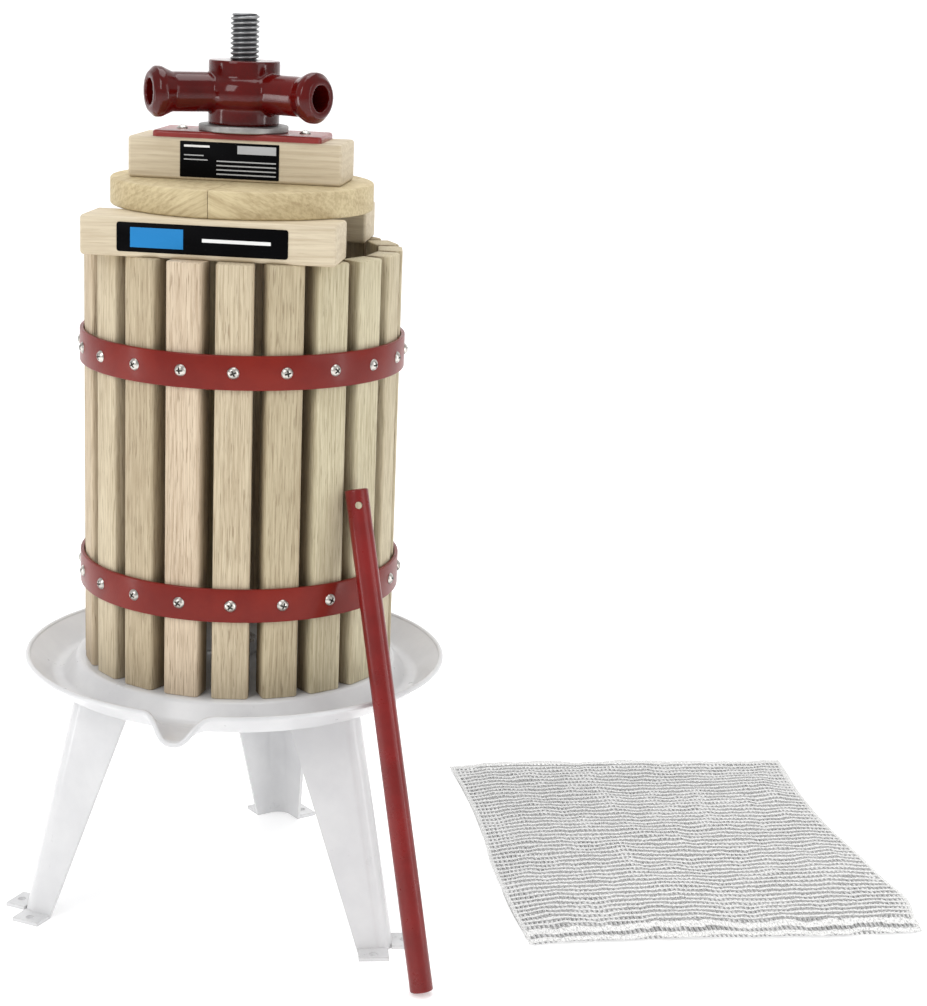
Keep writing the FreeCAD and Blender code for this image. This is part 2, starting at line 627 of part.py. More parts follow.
def make_hub():
    hub = new_body("Hub")
    plan = sketch_on(hub, "XZ_Plane")
    rectangle(plan, "0", "boss_across / 2", "0", "hub_high")
    spin(hub, "Revolution", plan)

    # a belt joins the arms round the boss
    belt = sketch_on(hub, "XZ_Plane")
    polygon(belt, [
        ("0", "arm_height - arm_across / 2"),
        ("belt_radius", "arm_height - arm_across / 2"),
        ("belt_radius", "arm_height + arm_across / 2"),
        ("0", "arm_height + arm_across / 2"),
    ], {1: ("belt_radius", "arm_height", "arm_across / 2", "left")})
    spin(hub, "Revolution", belt)

    # one arm, turned about its own axis, swells into a bell mouth
    arm = sketch_on(hub, "XZ_Plane")
    polygon(arm, [
        ("0", "arm_height"),
        ("arm_reach", "arm_height"),
        ("arm_reach", "arm_height + mouth_across / 2 - mouth_long / 3"),
        ("arm_reach - mouth_long / 3", "arm_height + mouth_across / 2"),
        ("arm_reach - mouth_long * 2 / 3", "arm_height + mouth_across / 2"),
        ("arm_reach - mouth_long * 4 / 3", "arm_height + arm_across / 2"),
        ("0", "arm_height + arm_across / 2"),
    ])
    axis_line = arm.addGeometry(Part.LineSegment(
        FreeCAD.Vector(0, size("arm_height"), 0),
        FreeCAD.Vector(size("arm_reach"), size("arm_height"), 0)), True)
    pin_point(arm, axis_line, 1, "0", "arm_height")
    pin_point(arm, axis_line, 2, "arm_reach", "arm_height")
    arm_feature = spin(hub, "Revolution", arm, "Axis0")
    repeat(hub, [arm_feature], "3")

    # blind sockets and the threaded way for the spindle
    socket = sketch_on(hub, "YZ_Plane", "arm_reach + 1")
    circle(socket, "0", "arm_height", "socket_across / 2")
    pocket = extrude(hub, "Pocket", socket, "socket_deep + 1")
    repeat(hub, [pocket], "3")
    way = sketch_on(hub, "XY_Plane")
    circle(way, "0", "0", "spindle_across / 2 + spindle_fit")
    extrude(hub, "Pocket", way, "hub_high", reverse=True)
    place(hub, ("0", "0", HUB_FOOT), "hub_turn - 90")
    keep(hub, "hub")


# ---- lever and filter bag: loose pieces that stand and lie beside the press -------------------------

def make_lever():
    """A plain bar that leans on the basket, with its foot on the floor."""
    lever = new_body("Lever")
    plan = sketch_on(lever, "XY_Plane")
    circle(plan, "0", "0", "lever_across / 2")
    extrude(lever, "Pad", plan, "lever_length")
    hole = sketch_on(lever, "XZ_Plane")
    circle(hole, "0", "lever_length - lever_hole_down", "lever_hole / 2")
    extrude(lever, "Pocket", hole, "lever_across + 1", midplane=True)
    round_edges(lever, "lever_across / 12", lambda e: is_round(e, size("lever_across / 2")))

    foot = spot(size("lever_foot_radius"), size("lever_foot_turn"))
    top = spot(size("lever_top_radius"), size("lever_top_turn"))
    spread = top.sub(foot)
    rise = math.sqrt(size("lever_length") ** 2 - spread.Length ** 2)
    lean = FreeCAD.Vector(spread.x, spread.y, rise)
    foot.z = size("lever_across / 2") * spread.Length / size("lever_length")
    lever.Placement = FreeCAD.Placement(foot, FreeCAD.Rotation(FreeCAD.Vector(0, 0, 1), lean))
    keep(lever, "lever")


def make_bag():
    bag = new_body("FilterBag")
    plan = sketch_on(bag, "XY_Plane")
    rectangle(plan, "0", "bag_wide", "0", "bag_long")
    extrude(bag, "Pad", plan, "bag_thick")
    place(bag, ("bag_left", "bag_front", "0"), "bag_turn")
    keep(bag, "filter_bag")


make_tray()
for number, letter in enumerate("abc"):
    make_leg("Leg_" + letter, "leg_turn + %d" % (120 * number))
make_leg_fasteners()
make_spindle()
make_nut("spindle_upper_nut", "bed_height")
make_ring("spindle_washer", "bed_height - tray_sheet - spindle_washer_thick",
          "spindle_washer / 2", "spindle_across / 2 + spindle_fit", "spindle_washer_thick", "0.3")
make_nut("spindle_lower_nut",
         "bed_height - tray_sheet - spindle_washer_thick - spindle_nut_high")
for number in range(int(size("slat_count"))):
    make_slat(number)
make_hoop("lower_hoop", "hoop_lower")
make_hoop("upper_hoop", "hoop_upper")
make_basket_screws("lower_hoop_screws", "bed_height + hoop_lower")
make_basket_screws("upper_hoop_screws", "bed_height + hoop_upper")
make_block("front_block", "-front_block_near - block_wide", "-front_block_near")
make_block("rear_block", "rear_block_near", "rear_block_near + block_wide")
make_half_disc("left_half_disc", -1)
make_half_disc("right_half_disc", 1)
make_top_block()
make_plate()
make_plate_screws()
make_ring("thrust_washer", THRUST_FOOT, "thrust_across / 2", "spindle_across / 2 + spindle_fit * 4",
          "thrust_high", "0.8")
make_label("block_label", "label_length", "label_high", "label_offset",
           "front_block_near + block_wide", STACK_FOOT + " + block_high / 2")
make_label("top_label", "top_label_length", "top_label_high", "top_label_offset",
           "top_block_wide / 2", TOP_FOOT + " + top_block_high / 2")
make_hub()
make_lever()
make_bag()

# ---- check every object, then write one STEP file for each sub-part ----------------------------------

doc.recompute()
for item in doc.Objects:
    if "Invalid" in item.State or "Error" in item.State:
        raise RuntimeError("%s failed: %s" % (item.Label, item.State))
for item in sub_parts:
    if item.Shape.isNull() or not item.Shape.isValid():
        raise RuntimeError("%s has no valid shape" % item.Label)

os.makedirs("parts", exist_ok=True)
for item in sub_parts:
    item.Shape.exportStep("parts/%s.step" % item.Label)
print("%d sub-parts written" % len(sub_parts))
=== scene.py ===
import json
import math
import bpy
import bmesh
from mathutils import Matrix, Vector, noise

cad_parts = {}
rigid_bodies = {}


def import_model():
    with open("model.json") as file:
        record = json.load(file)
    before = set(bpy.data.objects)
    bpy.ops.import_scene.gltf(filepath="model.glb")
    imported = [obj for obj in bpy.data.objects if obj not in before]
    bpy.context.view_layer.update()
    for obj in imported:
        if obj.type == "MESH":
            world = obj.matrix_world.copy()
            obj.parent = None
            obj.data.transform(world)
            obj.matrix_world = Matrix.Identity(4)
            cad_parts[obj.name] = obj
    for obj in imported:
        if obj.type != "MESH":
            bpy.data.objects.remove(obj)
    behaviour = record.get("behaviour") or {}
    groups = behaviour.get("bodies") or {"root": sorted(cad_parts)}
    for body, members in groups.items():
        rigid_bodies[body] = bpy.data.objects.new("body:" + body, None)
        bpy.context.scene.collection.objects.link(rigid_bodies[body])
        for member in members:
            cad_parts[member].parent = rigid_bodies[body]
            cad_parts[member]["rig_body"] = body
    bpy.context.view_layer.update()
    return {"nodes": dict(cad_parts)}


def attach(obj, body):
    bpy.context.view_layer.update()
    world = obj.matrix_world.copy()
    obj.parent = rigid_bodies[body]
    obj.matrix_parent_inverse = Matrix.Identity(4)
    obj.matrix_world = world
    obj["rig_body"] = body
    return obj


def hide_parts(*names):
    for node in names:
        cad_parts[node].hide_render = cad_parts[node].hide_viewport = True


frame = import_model()


# ---- camera: stands in front of the press, a little above the nut, and looks down at it ---------
# It is made first so that every piece can be judged through it.

EYE = Vector((0.0017, -1.369285, 0.61595))
YAW, PITCH, ROLL = 0.1061457, 0.2444438, 0.0400126
FOCUS_IN_HEIGHTS = 2151.942 / 1006

ahead = Vector((math.sin(YAW) * math.cos(PITCH), math.cos(YAW) * math.cos(PITCH), -math.sin(PITCH)))
level = Vector((math.cos(YAW), -math.sin(YAW), 0))
upward = level.cross(ahead)
across = level * math.cos(ROLL) + upward * math.sin(ROLL)
upright = upward * math.cos(ROLL) - level * math.sin(ROLL)
camera_data = bpy.data.cameras.new("camera")
camera_data.sensor_width = 36
camera_data.lens = 36 * FOCUS_IN_HEIGHTS
camera = bpy.data.objects.new("camera", camera_data)
camera.matrix_world = Matrix((
    (across.x, upright.x, -ahead.x, EYE.x),
    (across.y, upright.y, -ahead.y, EYE.y),
    (across.z, upright.z, -ahead.z, EYE.z),
    (0, 0, 0, 1)))
bpy.context.scene.collection.objects.link(camera)
bpy.context.scene.camera = camera


# ---- legs: three angles of pressed sheet, powder-coated white --------------------------------------
# Each is folded from one blank with a round crown, ends in two drilled tabs, and is bolted under
# the tray. The coat is glossy, slightly rippled, and thinner along the folds.

def node(tree, kind, inputs={}, **settings):
    """One node, with its settings and its inputs, which are values or other nodes' outputs."""
    made = tree.nodes.new(kind)
    for setting, value in settings.items():
        setattr(made, setting, value)
    for socket, value in inputs.items():
        if isinstance(value, bpy.types.NodeSocket):
            tree.links.new(value, made.inputs[socket])
        else:
            made.inputs[socket].default_value = value
    return made


def calc(tree, operation, *values):
    return node(tree, "ShaderNodeMath", dict(enumerate(values)), operation=operation).outputs[0]


def total(tree, *values):
    result = values[0]
    for value in values[1:]:
        result = calc(tree, "ADD", result, value)
    return result


def product(tree, *values):
    result = values[0]
    for value in values[1:]:
        result = calc(tree, "MULTIPLY", result, value)
    return result


def less(tree, value, taken):
    return calc(tree, "SUBTRACT", value, taken)


def apart(tree, vector):
    """A vector's three parts."""
    return node(tree, "ShaderNodeSeparateXYZ", {0: vector}).outputs


def bumpy(tree, shader, height, strength, depth):
    """Let a height raise and lower the surface that the shader sees."""
    relief = node(tree, "ShaderNodeBump", {"Strength": strength, "Distance": depth, "Height": height})
    tree.links.new(relief.outputs[0], shader.inputs["Normal"])


def tint(tree, share, first, second):
    mix = node(tree, "ShaderNodeMix", {0: share, 6: first, 7: second}, data_type="RGBA")
    return mix.outputs[2]


def ramp(tree, value, low, high, to_low=0.0, to_high=1.0):
    return node(tree, "ShaderNodeMapRange", {0: value, 1: low, 2: high, 3: to_low, 4: to_high},
                interpolation_type="SMOOTHSTEP").outputs[0]


def cloud(tree, place, scale, detail=2.0, rough=0.5):
    return node(tree, "ShaderNodeTexNoise", {0: place, 2: scale, 3: detail, 4: rough}).outputs[0]


def effect(name, inputs, outputs):
    """A shader node group with named inputs and outputs."""
    tree = bpy.data.node_groups.new(name, "ShaderNodeTree")
    for label, kind in inputs:
        tree.interface.new_socket(name=label, in_out="INPUT", socket_type="NodeSocket" + kind)
    for label, kind in outputs:
        tree.interface.new_socket(name=label, in_out="OUTPUT", socket_type="NodeSocket" + kind)
    return tree, tree.nodes.new("NodeGroupInput").outputs


def hand_out(tree, **results):
    leave = tree.nodes.new("NodeGroupOutput")
    for label, value in results.items():
        tree.links.new(value, leave.inputs[label])


def add_effect(tree, group, **inputs):
    return node(tree, "ShaderNodeGroup", inputs, node_tree=group)


# wear along edges: where a rounded normal leans away from the face's own
wear_tree, entry = effect("edge_wear", [("Place", "Vector"), ("Reach", "Float"), ("Breakup", "Float")],
                          [("Mask", "Float")])
eased = node(wear_tree, "ShaderNodeBevel", {0: entry["Reach"]}, samples=4).outputs[0]
lean = node(wear_tree, "ShaderNodeVectorMath",
            {0: eased, 1: wear_tree.nodes.new("ShaderNodeNewGeometry").outputs["Normal"]},
            operation="DOT_PRODUCT").outputs["Value"]
patches = ramp(wear_tree, cloud(wear_tree, entry["Place"], 260, 3), 0.42, 0.66)
edge = ramp(wear_tree, less(wear_tree, 1, lean), 0.02, 0.2)
kept = less(wear_tree, 1, product(wear_tree, entry["Breakup"], patches))
hand_out(wear_tree, Mask=product(wear_tree, edge, kept))

# a coat of paint: cloudy thickness, fine ripple and a little settled dust
coat_tree, entry = effect(
    "paint_coat",
    [("Place", "Vector"), ("Colour", "Color"), ("Deep", "Color"), ("Edge", "Color"), ("Wear", "Float"),
     ("Ripple", "Float"), ("Gloss", "Float"), ("Spread", "Float")],
    [("Colour", "Color"), ("Roughness", "Float"), ("Height", "Float")])
thick = ramp(coat_tree, cloud(coat_tree, entry["Place"], 26, 4, 0.6), 0.32, 0.68)
body_tint = tint(coat_tree, thick, entry["Deep"], entry["Colour"])
worn = tint(coat_tree, entry["Wear"], body_tint, entry["Edge"])
dust = ramp(coat_tree, cloud(coat_tree, entry["Place"], 1900, 2, 0.7), 0.62, 0.8)
smear = less(coat_tree, cloud(coat_tree, entry["Place"], 60, 5, 0.65), 0.5)
rough = total(coat_tree, entry["Gloss"], product(coat_tree, smear, entry["Spread"]),
              product(coat_tree, dust, 0.08))
ripple = cloud(coat_tree, entry["Place"], entry["Ripple"], 2, 0.45)
hand_out(coat_tree, Colour=worn, Roughness=rough,
         Height=total(coat_tree, ripple, product(coat_tree, dust, 0.3)))


def new_material(name):
    """An empty material: its tree, its shader, and the place of a point on the piece."""
    material = bpy.data.materials.new(name)
    material.use_nodes = True
    tree = material.node_tree
    shader = tree.nodes["Principled BSDF"]
    place = tree.nodes.new("ShaderNodeTexCoord").outputs["Object"]
    return material, tree, shader, place


def wire_up(tree, shader, look, bump, depth):
    """Join a look's colour, roughness and height to the shader."""
    tree.links.new(look["Colour"], shader.inputs["Base Color"])
    tree.links.new(look["Roughness"], shader.inputs["Roughness"])
    bumpy(tree, shader, look["Height"], bump, depth)


def painted(name, colour, deep, edge_colour, ripple, gloss, spread, reach, breakup, bump, coat, shine=0.5):
    material, tree, shader, place = new_material(name)
    worn = add_effect(tree, wear_tree, Place=place, Reach=reach, Breakup=breakup).outputs["Mask"]
    look = add_effect(tree, coat_tree, Place=place, Colour=(*colour, 1), Deep=(*deep, 1),
                      Edge=(*edge_colour, 1), Wear=worn, Ripple=ripple, Gloss=gloss, Spread=spread)
    wire_up(tree, shader, look.outputs, bump, 0.0004)
    shader.inputs["Specular IOR Level"].default_value = shine
    shader.inputs["Coat Weight"].default_value = coat
    shader.inputs["Coat Roughness"].default_value = 0.12
    return material


def clean_copy(name, part, sharp=35, ease=0.0):
    """A piece made from a CAD part, its triangles joined up and its sharp edges eased."""
    shell = bmesh.new()
    shell.from_mesh(frame["nodes"][part].data)
    bmesh.ops.remove_doubles(shell, verts=shell.verts, dist=1e-6)
    bmesh.ops.dissolve_limit(shell, angle_limit=math.radians(0.2), verts=shell.verts, edges=shell.edges)
    piece = finished_piece(name, shell, sharp)
    if ease:
        bevel = piece.modifiers.new("eased edges", "BEVEL")
        bevel.width, bevel.segments, bevel.limit_method = ease, 2, "ANGLE"
        bevel.angle_limit = math.radians(sharp)
        bevel.harden_normals = True
    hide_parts(part)
    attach(piece, frame["nodes"][part]["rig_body"])
    return piece


def finished_piece(name, shell, sharp=35):
    """An object at the origin from a bmesh, smooth except at its sharp edges."""
    mesh = bpy.data.meshes.new(name)
    shell.to_mesh(mesh)
    shell.free()
    mesh.polygons.foreach_set("use_smooth", [True] * len(mesh.polygons))
    mesh.set_sharp_from_angle(angle=math.radians(sharp))
    piece = bpy.data.objects.new(name, mesh)
    bpy.context.scene.collection.objects.link(piece)
    return piece


white_coat = painted("white powder coat", (0.68, 0.68, 0.685), (0.62, 0.62, 0.63), (0.55, 0.55, 0.54),
                     ripple=700, gloss=0.3, spread=0.16, reach=0.0016, breakup=0.6, bump=0.12, coat=0.3)
for letter in "abc":
    leg = clean_copy("leg_" + letter + "_pressed", "leg_" + letter, ease=0.0005)
    leg.data.materials.append(white_coat)


# ---- tray: one dish pressed from 2 mm sheet, with a rolled rim and a pouring lip -------------------
# The basket stands on the flat bed. Juice runs round the channel outside it and out of the lip,
# where the wall is drawn outwards and down.

MM = 0.001
SPINDLE_HOLE = 9.2
BED, BED_EDGE, CHANNEL_IN, CHANNEL_OUT, RIM, DROP, RISE = 170, 104, 113, 119, 135.65, 13, 1.6
SHEET, BEAD = 2.0, 1.7
LIP_TURN, LIP_HALF, LIP_HOLLOW, LIP_OUT, LIP_LIFT = math.radians(-14.6), 23.5, 18, 12.0, 0.8


def rounded_line(points, radius, steps=4):
    """Points along a line whose inner corners are rounded."""
    line = [Vector(points[0])]
    for before, corner, after in zip(points, points[1:], points[2:]):
        before, corner, after = Vector(before), Vector(corner), Vector(after)
        first = corner + (before - corner).normalized() * radius
        last = corner + (after - corner).normalized() * radius
        for n in range(steps + 1):
            t = n / steps
            line.append(first * (1 - t) ** 2 + corner * (2 * t * (1 - t)) + last * t ** 2)
    line.append(Vector(points[-1]))
    return line


def smooth_step(t):
    t = min(max(t, 0.0), 1.0)
    return t * t * (3 - 2 * t)


def tray_point(radius, height, turn):
    """A point of the tray's upper face, drawn out at the lip."""
    out, aside = radius * math.cos(turn - LIP_TURN), radius * math.sin(turn - LIP_TURN)
    lip = smooth_step(1.25 - abs(aside) / LIP_HALF * 1.25) if out > 0 else 0.0
    climb = min(max((radius - CHANNEL_OUT) / (RIM - CHANNEL_OUT), 0.0), 1.0)
    low = BED - DROP + climb * (LIP_LIFT + (DROP + RISE - LIP_LIFT) * min(1, (aside / LIP_HOLLOW) ** 2))
    height += (min(low, height) - height) * lip * smooth_step(climb * 4)
    out += LIP_OUT * lip * climb
    lip_x, lip_y = math.sin(LIP_TURN), -math.cos(LIP_TURN)
    return Vector((out * lip_x - aside * lip_y, out * lip_y + aside * lip_x, height)) * MM


corners = [(SPINDLE_HOLE, BED), (BED_EDGE, BED), (CHANNEL_IN, BED - DROP), (CHANNEL_OUT, BED - DROP),
           (RIM, BED + RISE)]
section = rounded_line(corners, 2.6)
wall_start = section.pop()
section += [section[-1].lerp(wall_start, n / 8) for n in range(1, 9)]
STEPS = 288
dish = bmesh.new()
rings = [[dish.verts.new(tray_point(p.x, p.y, math.tau * n / STEPS)) for n in range(STEPS)] for p in section]
for inner, outer in zip(rings, rings[1:]):
    for n in range(STEPS):
        dish.faces.new((inner[n], outer[n], outer[(n + 1) % STEPS], inner[(n + 1) % STEPS]))
bmesh.ops.recalc_face_normals(dish, faces=dish.faces)
if sum(f.normal.z for f in dish.faces) < 0:
    bmesh.ops.reverse_faces(dish, faces=dish.faces)
rim_line = [v.co.copy() for v in rings[-1]]
tray = finished_piece("tray_pressed", dish, 60)
wall = tray.modifiers.new("sheet", "SOLIDIFY")
wall.thickness, wall.offset = SHEET * MM, -1

bead = bmesh.new()
tube = []
for n, point in enumerate(rim_line):
    run = (rim_line[(n + 1) % STEPS] - rim_line[n - 1]).normalized()
    aside = Vector((point.x, point.y, 0)).normalized()
    over = aside.cross(run).normalized()
    aside = run.cross(over)
    tube.append([bead.verts.new(point + (aside * math.cos(a) + over * math.sin(a)) * BEAD * MM
                                - Vector((0, 0, BEAD * MM)))
                 for a in [math.tau * k / 12 for k in range(12)]])
for n in range(STEPS):
    for k in range(12):
        bead.faces.new((tube[n][k], tube[(n + 1) % STEPS][k],
                        tube[(n + 1) % STEPS][(k + 1) % 12], tube[n][(k + 1) % 12]))
bmesh.ops.recalc_face_normals(bead, faces=bead.faces)
rim = finished_piece("tray_rolled_rim", bead)
for piece in (tray, rim):
    piece.data.materials.append(white_coat)
    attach(piece, "stand")
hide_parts("tray")


# ---- bolts and nuts: zinc-plated steel, three under the bed and two nuts with a washer on the spindle
# They are stock fasteners, turned and rolled, with a bright, slightly streaked plating.

def plated(name, light, dark, gloss, grain, bump, metal=1.0):
    """Bare or plated metal with cloudy tone and fine streaks."""
    material, tree, shader, place = new_material(name)
    tone = ramp(tree, cloud(tree, place, 90, 4, 0.6), 0.3, 0.7)
    streak = cloud(tree, node(tree, "ShaderNodeMapping", {0: place, 3: (1, 1, 0.12)}).outputs[0], grain, 3)
    tree.links.new(tint(tree, tone, (*dark, 1), (*light, 1)), shader.inputs["Base Color"])
    tree.links.new(total(tree, gloss, product(tree, streak, 0.22)), shader.inputs["Roughness"])
    bumpy(tree, shader, streak, bump, 0.0002)
    shader.inputs["Metallic"].default_value = metal
    return material


zinc = plated("zinc plate", (0.72, 0.73, 0.74), (0.52, 0.53, 0.55), 0.18, 900, 0.2)
for name in ("leg_bolts", "leg_nuts", "spindle_upper_nut", "spindle_washer", "spindle_lower_nut"):
    hardware = clean_copy(name + "_plated", name, ease=0.0003)
    hardware.data.materials.append(zinc)


# ---- spindle: a steel bar with a coarse right-hand thread rolled along its whole length -------------
# The thread's roots are painted near black as shade, and its crests keep the steel's lighter tone. A chamfer
# starts it at each end.

def tree_with(name, sockets):
    """A geometry node tree with named inputs, a geometry output, and its input node's outputs."""
    tree = bpy.data.node_groups.new(name, "GeometryNodeTree")
    for label, kind in sockets:
        tree.interface.new_socket(name=label, in_out="INPUT", socket_type="NodeSocket" + kind)
    tree.interface.new_socket(name="Geometry", in_out="OUTPUT", socket_type="NodeSocketGeometry")
    return tree, tree.nodes.new("NodeGroupInput").outputs


def grown(name, start, tree, **values):
    """The plain mesh that a geometry node tree makes from a starting mesh with these inputs."""
    maker = bpy.data.objects.new(name, start)
    bpy.context.scene.collection.objects.link(maker)
    modifier = maker.modifiers.new("maker", "NODES")
    modifier.node_group = tree
    sockets = {s.name: s.identifier for s in tree.interface.items_tree if s.in_out == "INPUT"}
    for label, value in values.items():
        modifier[sockets[label.replace("_", " ")]] = value
    graph = bpy.context.evaluated_depsgraph_get()
    mesh = bpy.data.meshes.new_from_object(maker.evaluated_get(graph))
    maker.modifiers.clear()
    maker.data = mesh
    mesh.name = name
    return maker


thread_tree, entry = tree_with("rolled thread", [
    ("Geometry", "Geometry"), ("Radius", "Float"), ("Pitch", "Float"), ("Depth", "Float"), ("Foot", "Float"),
    ("Top", "Float"), ("Around", "Int"), ("Along", "Int"), ("Metal", "Material")])
sheet = node(thread_tree, "GeometryNodeMeshGrid",
             {0: 1.0, 1: 1.0, 2: entry["Around"], 3: entry["Along"]}).outputs[0]
flat = apart(thread_tree, thread_tree.nodes.new("GeometryNodeInputPosition").outputs[0])
turn = total(thread_tree, flat[0], 0.5)
rise = total(thread_tree, flat[1], 0.5)
length = less(thread_tree, entry["Top"], entry["Foot"])
height = total(thread_tree, entry["Foot"], product(thread_tree, rise, length))
turns_up = calc(thread_tree, "DIVIDE", height, entry["Pitch"])
phase = calc(thread_tree, "FRACT", less(thread_tree, turns_up, turn))
saw = calc(thread_tree, "ABSOLUTE", less(thread_tree, product(thread_tree, phase, 2), 1))
groove = ramp(thread_tree, saw, 0.25, 0.85)
near_end = product(thread_tree, length,
                calc(thread_tree, "MINIMUM", rise, less(thread_tree, 1, rise)))
end_radius = less(thread_tree, entry["Radius"], product(thread_tree, entry["Depth"], 1.1))
chamfer = total(thread_tree, near_end, end_radius)
thread = less(thread_tree, entry["Radius"], product(thread_tree, entry["Depth"], groove))
reach = calc(thread_tree, "MINIMUM", chamfer, thread)
closed = product(thread_tree, reach, calc(thread_tree, "GREATER_THAN", near_end, 0.00001))
angle = product(thread_tree, turn, math.tau)
spot = node(thread_tree, "ShaderNodeCombineXYZ", {
    0: product(thread_tree, closed, calc(thread_tree, "COSINE", angle)),
    1: product(thread_tree, closed, calc(thread_tree, "SINE", angle)), 2: height}).outputs[0]
marked = node(thread_tree, "GeometryNodeStoreNamedAttribute", {0: sheet, 2: "groove", 3: groove},
              data_type="FLOAT", domain="POINT").outputs[0]
rolled = node(thread_tree, "GeometryNodeSetPosition", {0: marked, 2: spot}).outputs[0]
joined = node(thread_tree, "GeometryNodeMergeByDistance", {0: rolled, 2: 0.000005}).outputs[0]
smooth = node(thread_tree, "GeometryNodeSetShadeSmooth", {0: joined}).outputs[0]
real = node(thread_tree, "GeometryNodeRealizeInstances", {0: smooth}).outputs[0]
done = node(thread_tree, "GeometryNodeSetMaterial", {0: real, 2: entry["Metal"]}).outputs[0]
node(thread_tree, "NodeGroupOutput", {0: done})

rolled_steel, tree, shader, place = new_material("rolled spindle steel")
groove = node(tree, "ShaderNodeAttribute", {}, attribute_name="groove").outputs["Fac"]
oil = cloud(tree, place, 420, 3, 0.6)
bright = tint(tree, oil, (0.24, 0.245, 0.25, 1), (0.37, 0.375, 0.38, 1))
# painted shade: the groove attribute darkens the thread's roots almost to black
tone = tint(tree, ramp(tree, groove, 0.25, 0.95), bright, (0.06, 0.06, 0.065, 1))
tree.links.new(tone, shader.inputs["Base Color"])
tree.links.new(total(tree, 0.24, product(tree, oil, 0.3)), shader.inputs["Roughness"])
bumpy(tree, shader, cloud(tree, place, 1500, 3), 0.25, 0.0002)
shader.inputs["Metallic"].default_value = 0.9

spindle = grown("spindle_threaded", bpy.data.meshes.new("spindle"), thread_tree,
                Radius=0.0089, Pitch=0.003, Depth=0.00165, Foot=0.146, Top=0.5825,
                Around=33, Along=1164, Metal=rolled_steel)
turned_out = bmesh.new()
turned_out.from_mesh(spindle.data)
bmesh.ops.recalc_face_normals(turned_out, faces=turned_out.faces)
turned_out.to_mesh(spindle.data)
turned_out.free()
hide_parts("spindle")
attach(spindle, "stand")


# ---- slats: twenty planed oak staves, each screwed to two hoops -------------------------------------
# They are sawn along the grain, so rings and pores run up them, and no two have the same tone. The
# outer edges are rounded over and the sawn ends only just eased.

SLATS, SLAT_WIDE, SLAT_THICK, SLAT_HIGH, SLAT_ROUND = 20, 22.75, 15.5, 270.0, 2.5
BASKET_X, BASKET_OUT, FIRST_TURN = 0.0017, 100, math.radians(-3.19)
LOWER_HOOP, UPPER_HOOP = 0.231, 0.3757

wood_tree, entry = effect(
    "wood_grain",
    [("Place", "Vector"), ("Light", "Color"), ("Dark", "Color"), ("Rings", "Float"), ("Fibre", "Float"),
     ("Pores", "Float"), ("Shift", "Float")],
    [("Colour", "Color"), ("Roughness", "Float"), ("Height", "Float")])
drawn = node(wood_tree, "ShaderNodeMapping", {0: entry["Place"], 3: (1, 1, 0.13)}).outputs[0]
away = node(wood_tree, "ShaderNodeCombineXYZ", {0: entry["Shift"], 1: 0.031, 2: entry["Shift"]}).outputs[0]
drawn = node(wood_tree, "ShaderNodeVectorMath", {0: drawn, 1: away}, operation="ADD").outputs[0]
bent = cloud(wood_tree, drawn, 22, 3, 0.5)
parted = apart(wood_tree, drawn)
squares = [product(wood_tree, part, part) for part in parted[:2]]
pith = total(wood_tree, calc(wood_tree, "SQRT", total(wood_tree, *squares)), product(wood_tree, bent, 0.02))
year = calc(wood_tree, "FRACT", product(wood_tree, pith, entry["Rings"]))
late = product(wood_tree, ramp(wood_tree, year, 0.25, 0.92), ramp(wood_tree, year, 1.0, 0.93))
thin = node(wood_tree, "ShaderNodeMapping", {0: drawn, 3: (1, 1, 0.3)}).outputs[0]
fibre = cloud(wood_tree, thin, entry["Fibre"], 4, 0.62)
pore = ramp(wood_tree, cloud(wood_tree, thin, 1500, 2, 0.5), 0.6, 0.68)
patch = cloud(wood_tree, drawn, 60, 2, 0.5)
pore = product(wood_tree, pore, entry["Pores"])
shade = total(wood_tree, product(wood_tree, late, 0.22), product(wood_tree, pore, 0.7),
              ramp(wood_tree, fibre, 0.38, 0.64, 0.0, 0.5), ramp(wood_tree, patch, 0.35, 0.7, 0.0, 0.25))
shade = calc(wood_tree, "MINIMUM", shade, 1)
hand_out(wood_tree, Colour=tint(wood_tree, shade, entry["Light"], entry["Dark"]),
         Roughness=total(wood_tree, 0.52, product(wood_tree, fibre, 0.25)),
         Height=less(wood_tree, product(wood_tree, fibre, 0.5), pore))

oak, tree, shader, place = new_material("planed oak")
place = node(tree, "ShaderNodeAttribute", {}, attribute_name="piece_place").outputs["Vector"]
tone = node(tree, "ShaderNodeAttribute", {}, attribute_name="piece_tone").outputs["Fac"]
hue = calc(tree, "FRACT", product(tree, tone, 7.3))
pale_light = tint(tree, hue, (0.74, 0.605, 0.455, 1), (0.68, 0.625, 0.44, 1))
pale_dark = tint(tree, hue, (0.45, 0.33, 0.225, 1), (0.42, 0.36, 0.225, 1))
light = tint(tree, tone, (0.46, 0.375, 0.235, 1), pale_light)
dark = tint(tree, tone, (0.27, 0.20, 0.115, 1), pale_dark)
# painted shade: each stave is darker down its flanks, more so towards the inside, where shade falls in the
# gap between two of them
sides = apart(tree, place)
painted_gap_shade = ramp(tree, calc(tree, "ABSOLUTE", sides[0]), 0.0102, 0.0113)
painted_gap_shade = product(tree, painted_gap_shade, ramp(tree, sides[1], -0.0065, 0.003, 0.12, 0.85))
light = tint(tree, painted_gap_shade, light, (0.26, 0.19, 0.11, 1))
dark = tint(tree, painted_gap_shade, dark, (0.13, 0.09, 0.05, 1))
look = add_effect(tree, wood_tree, Place=place, Light=light, Dark=dark, Rings=330.0, Fibre=1150.0, Pores=1.0,
                  Shift=product(tree, tone, 0.9))
wire_up(tree, shader, look.outputs, 0.6, 0.0004)

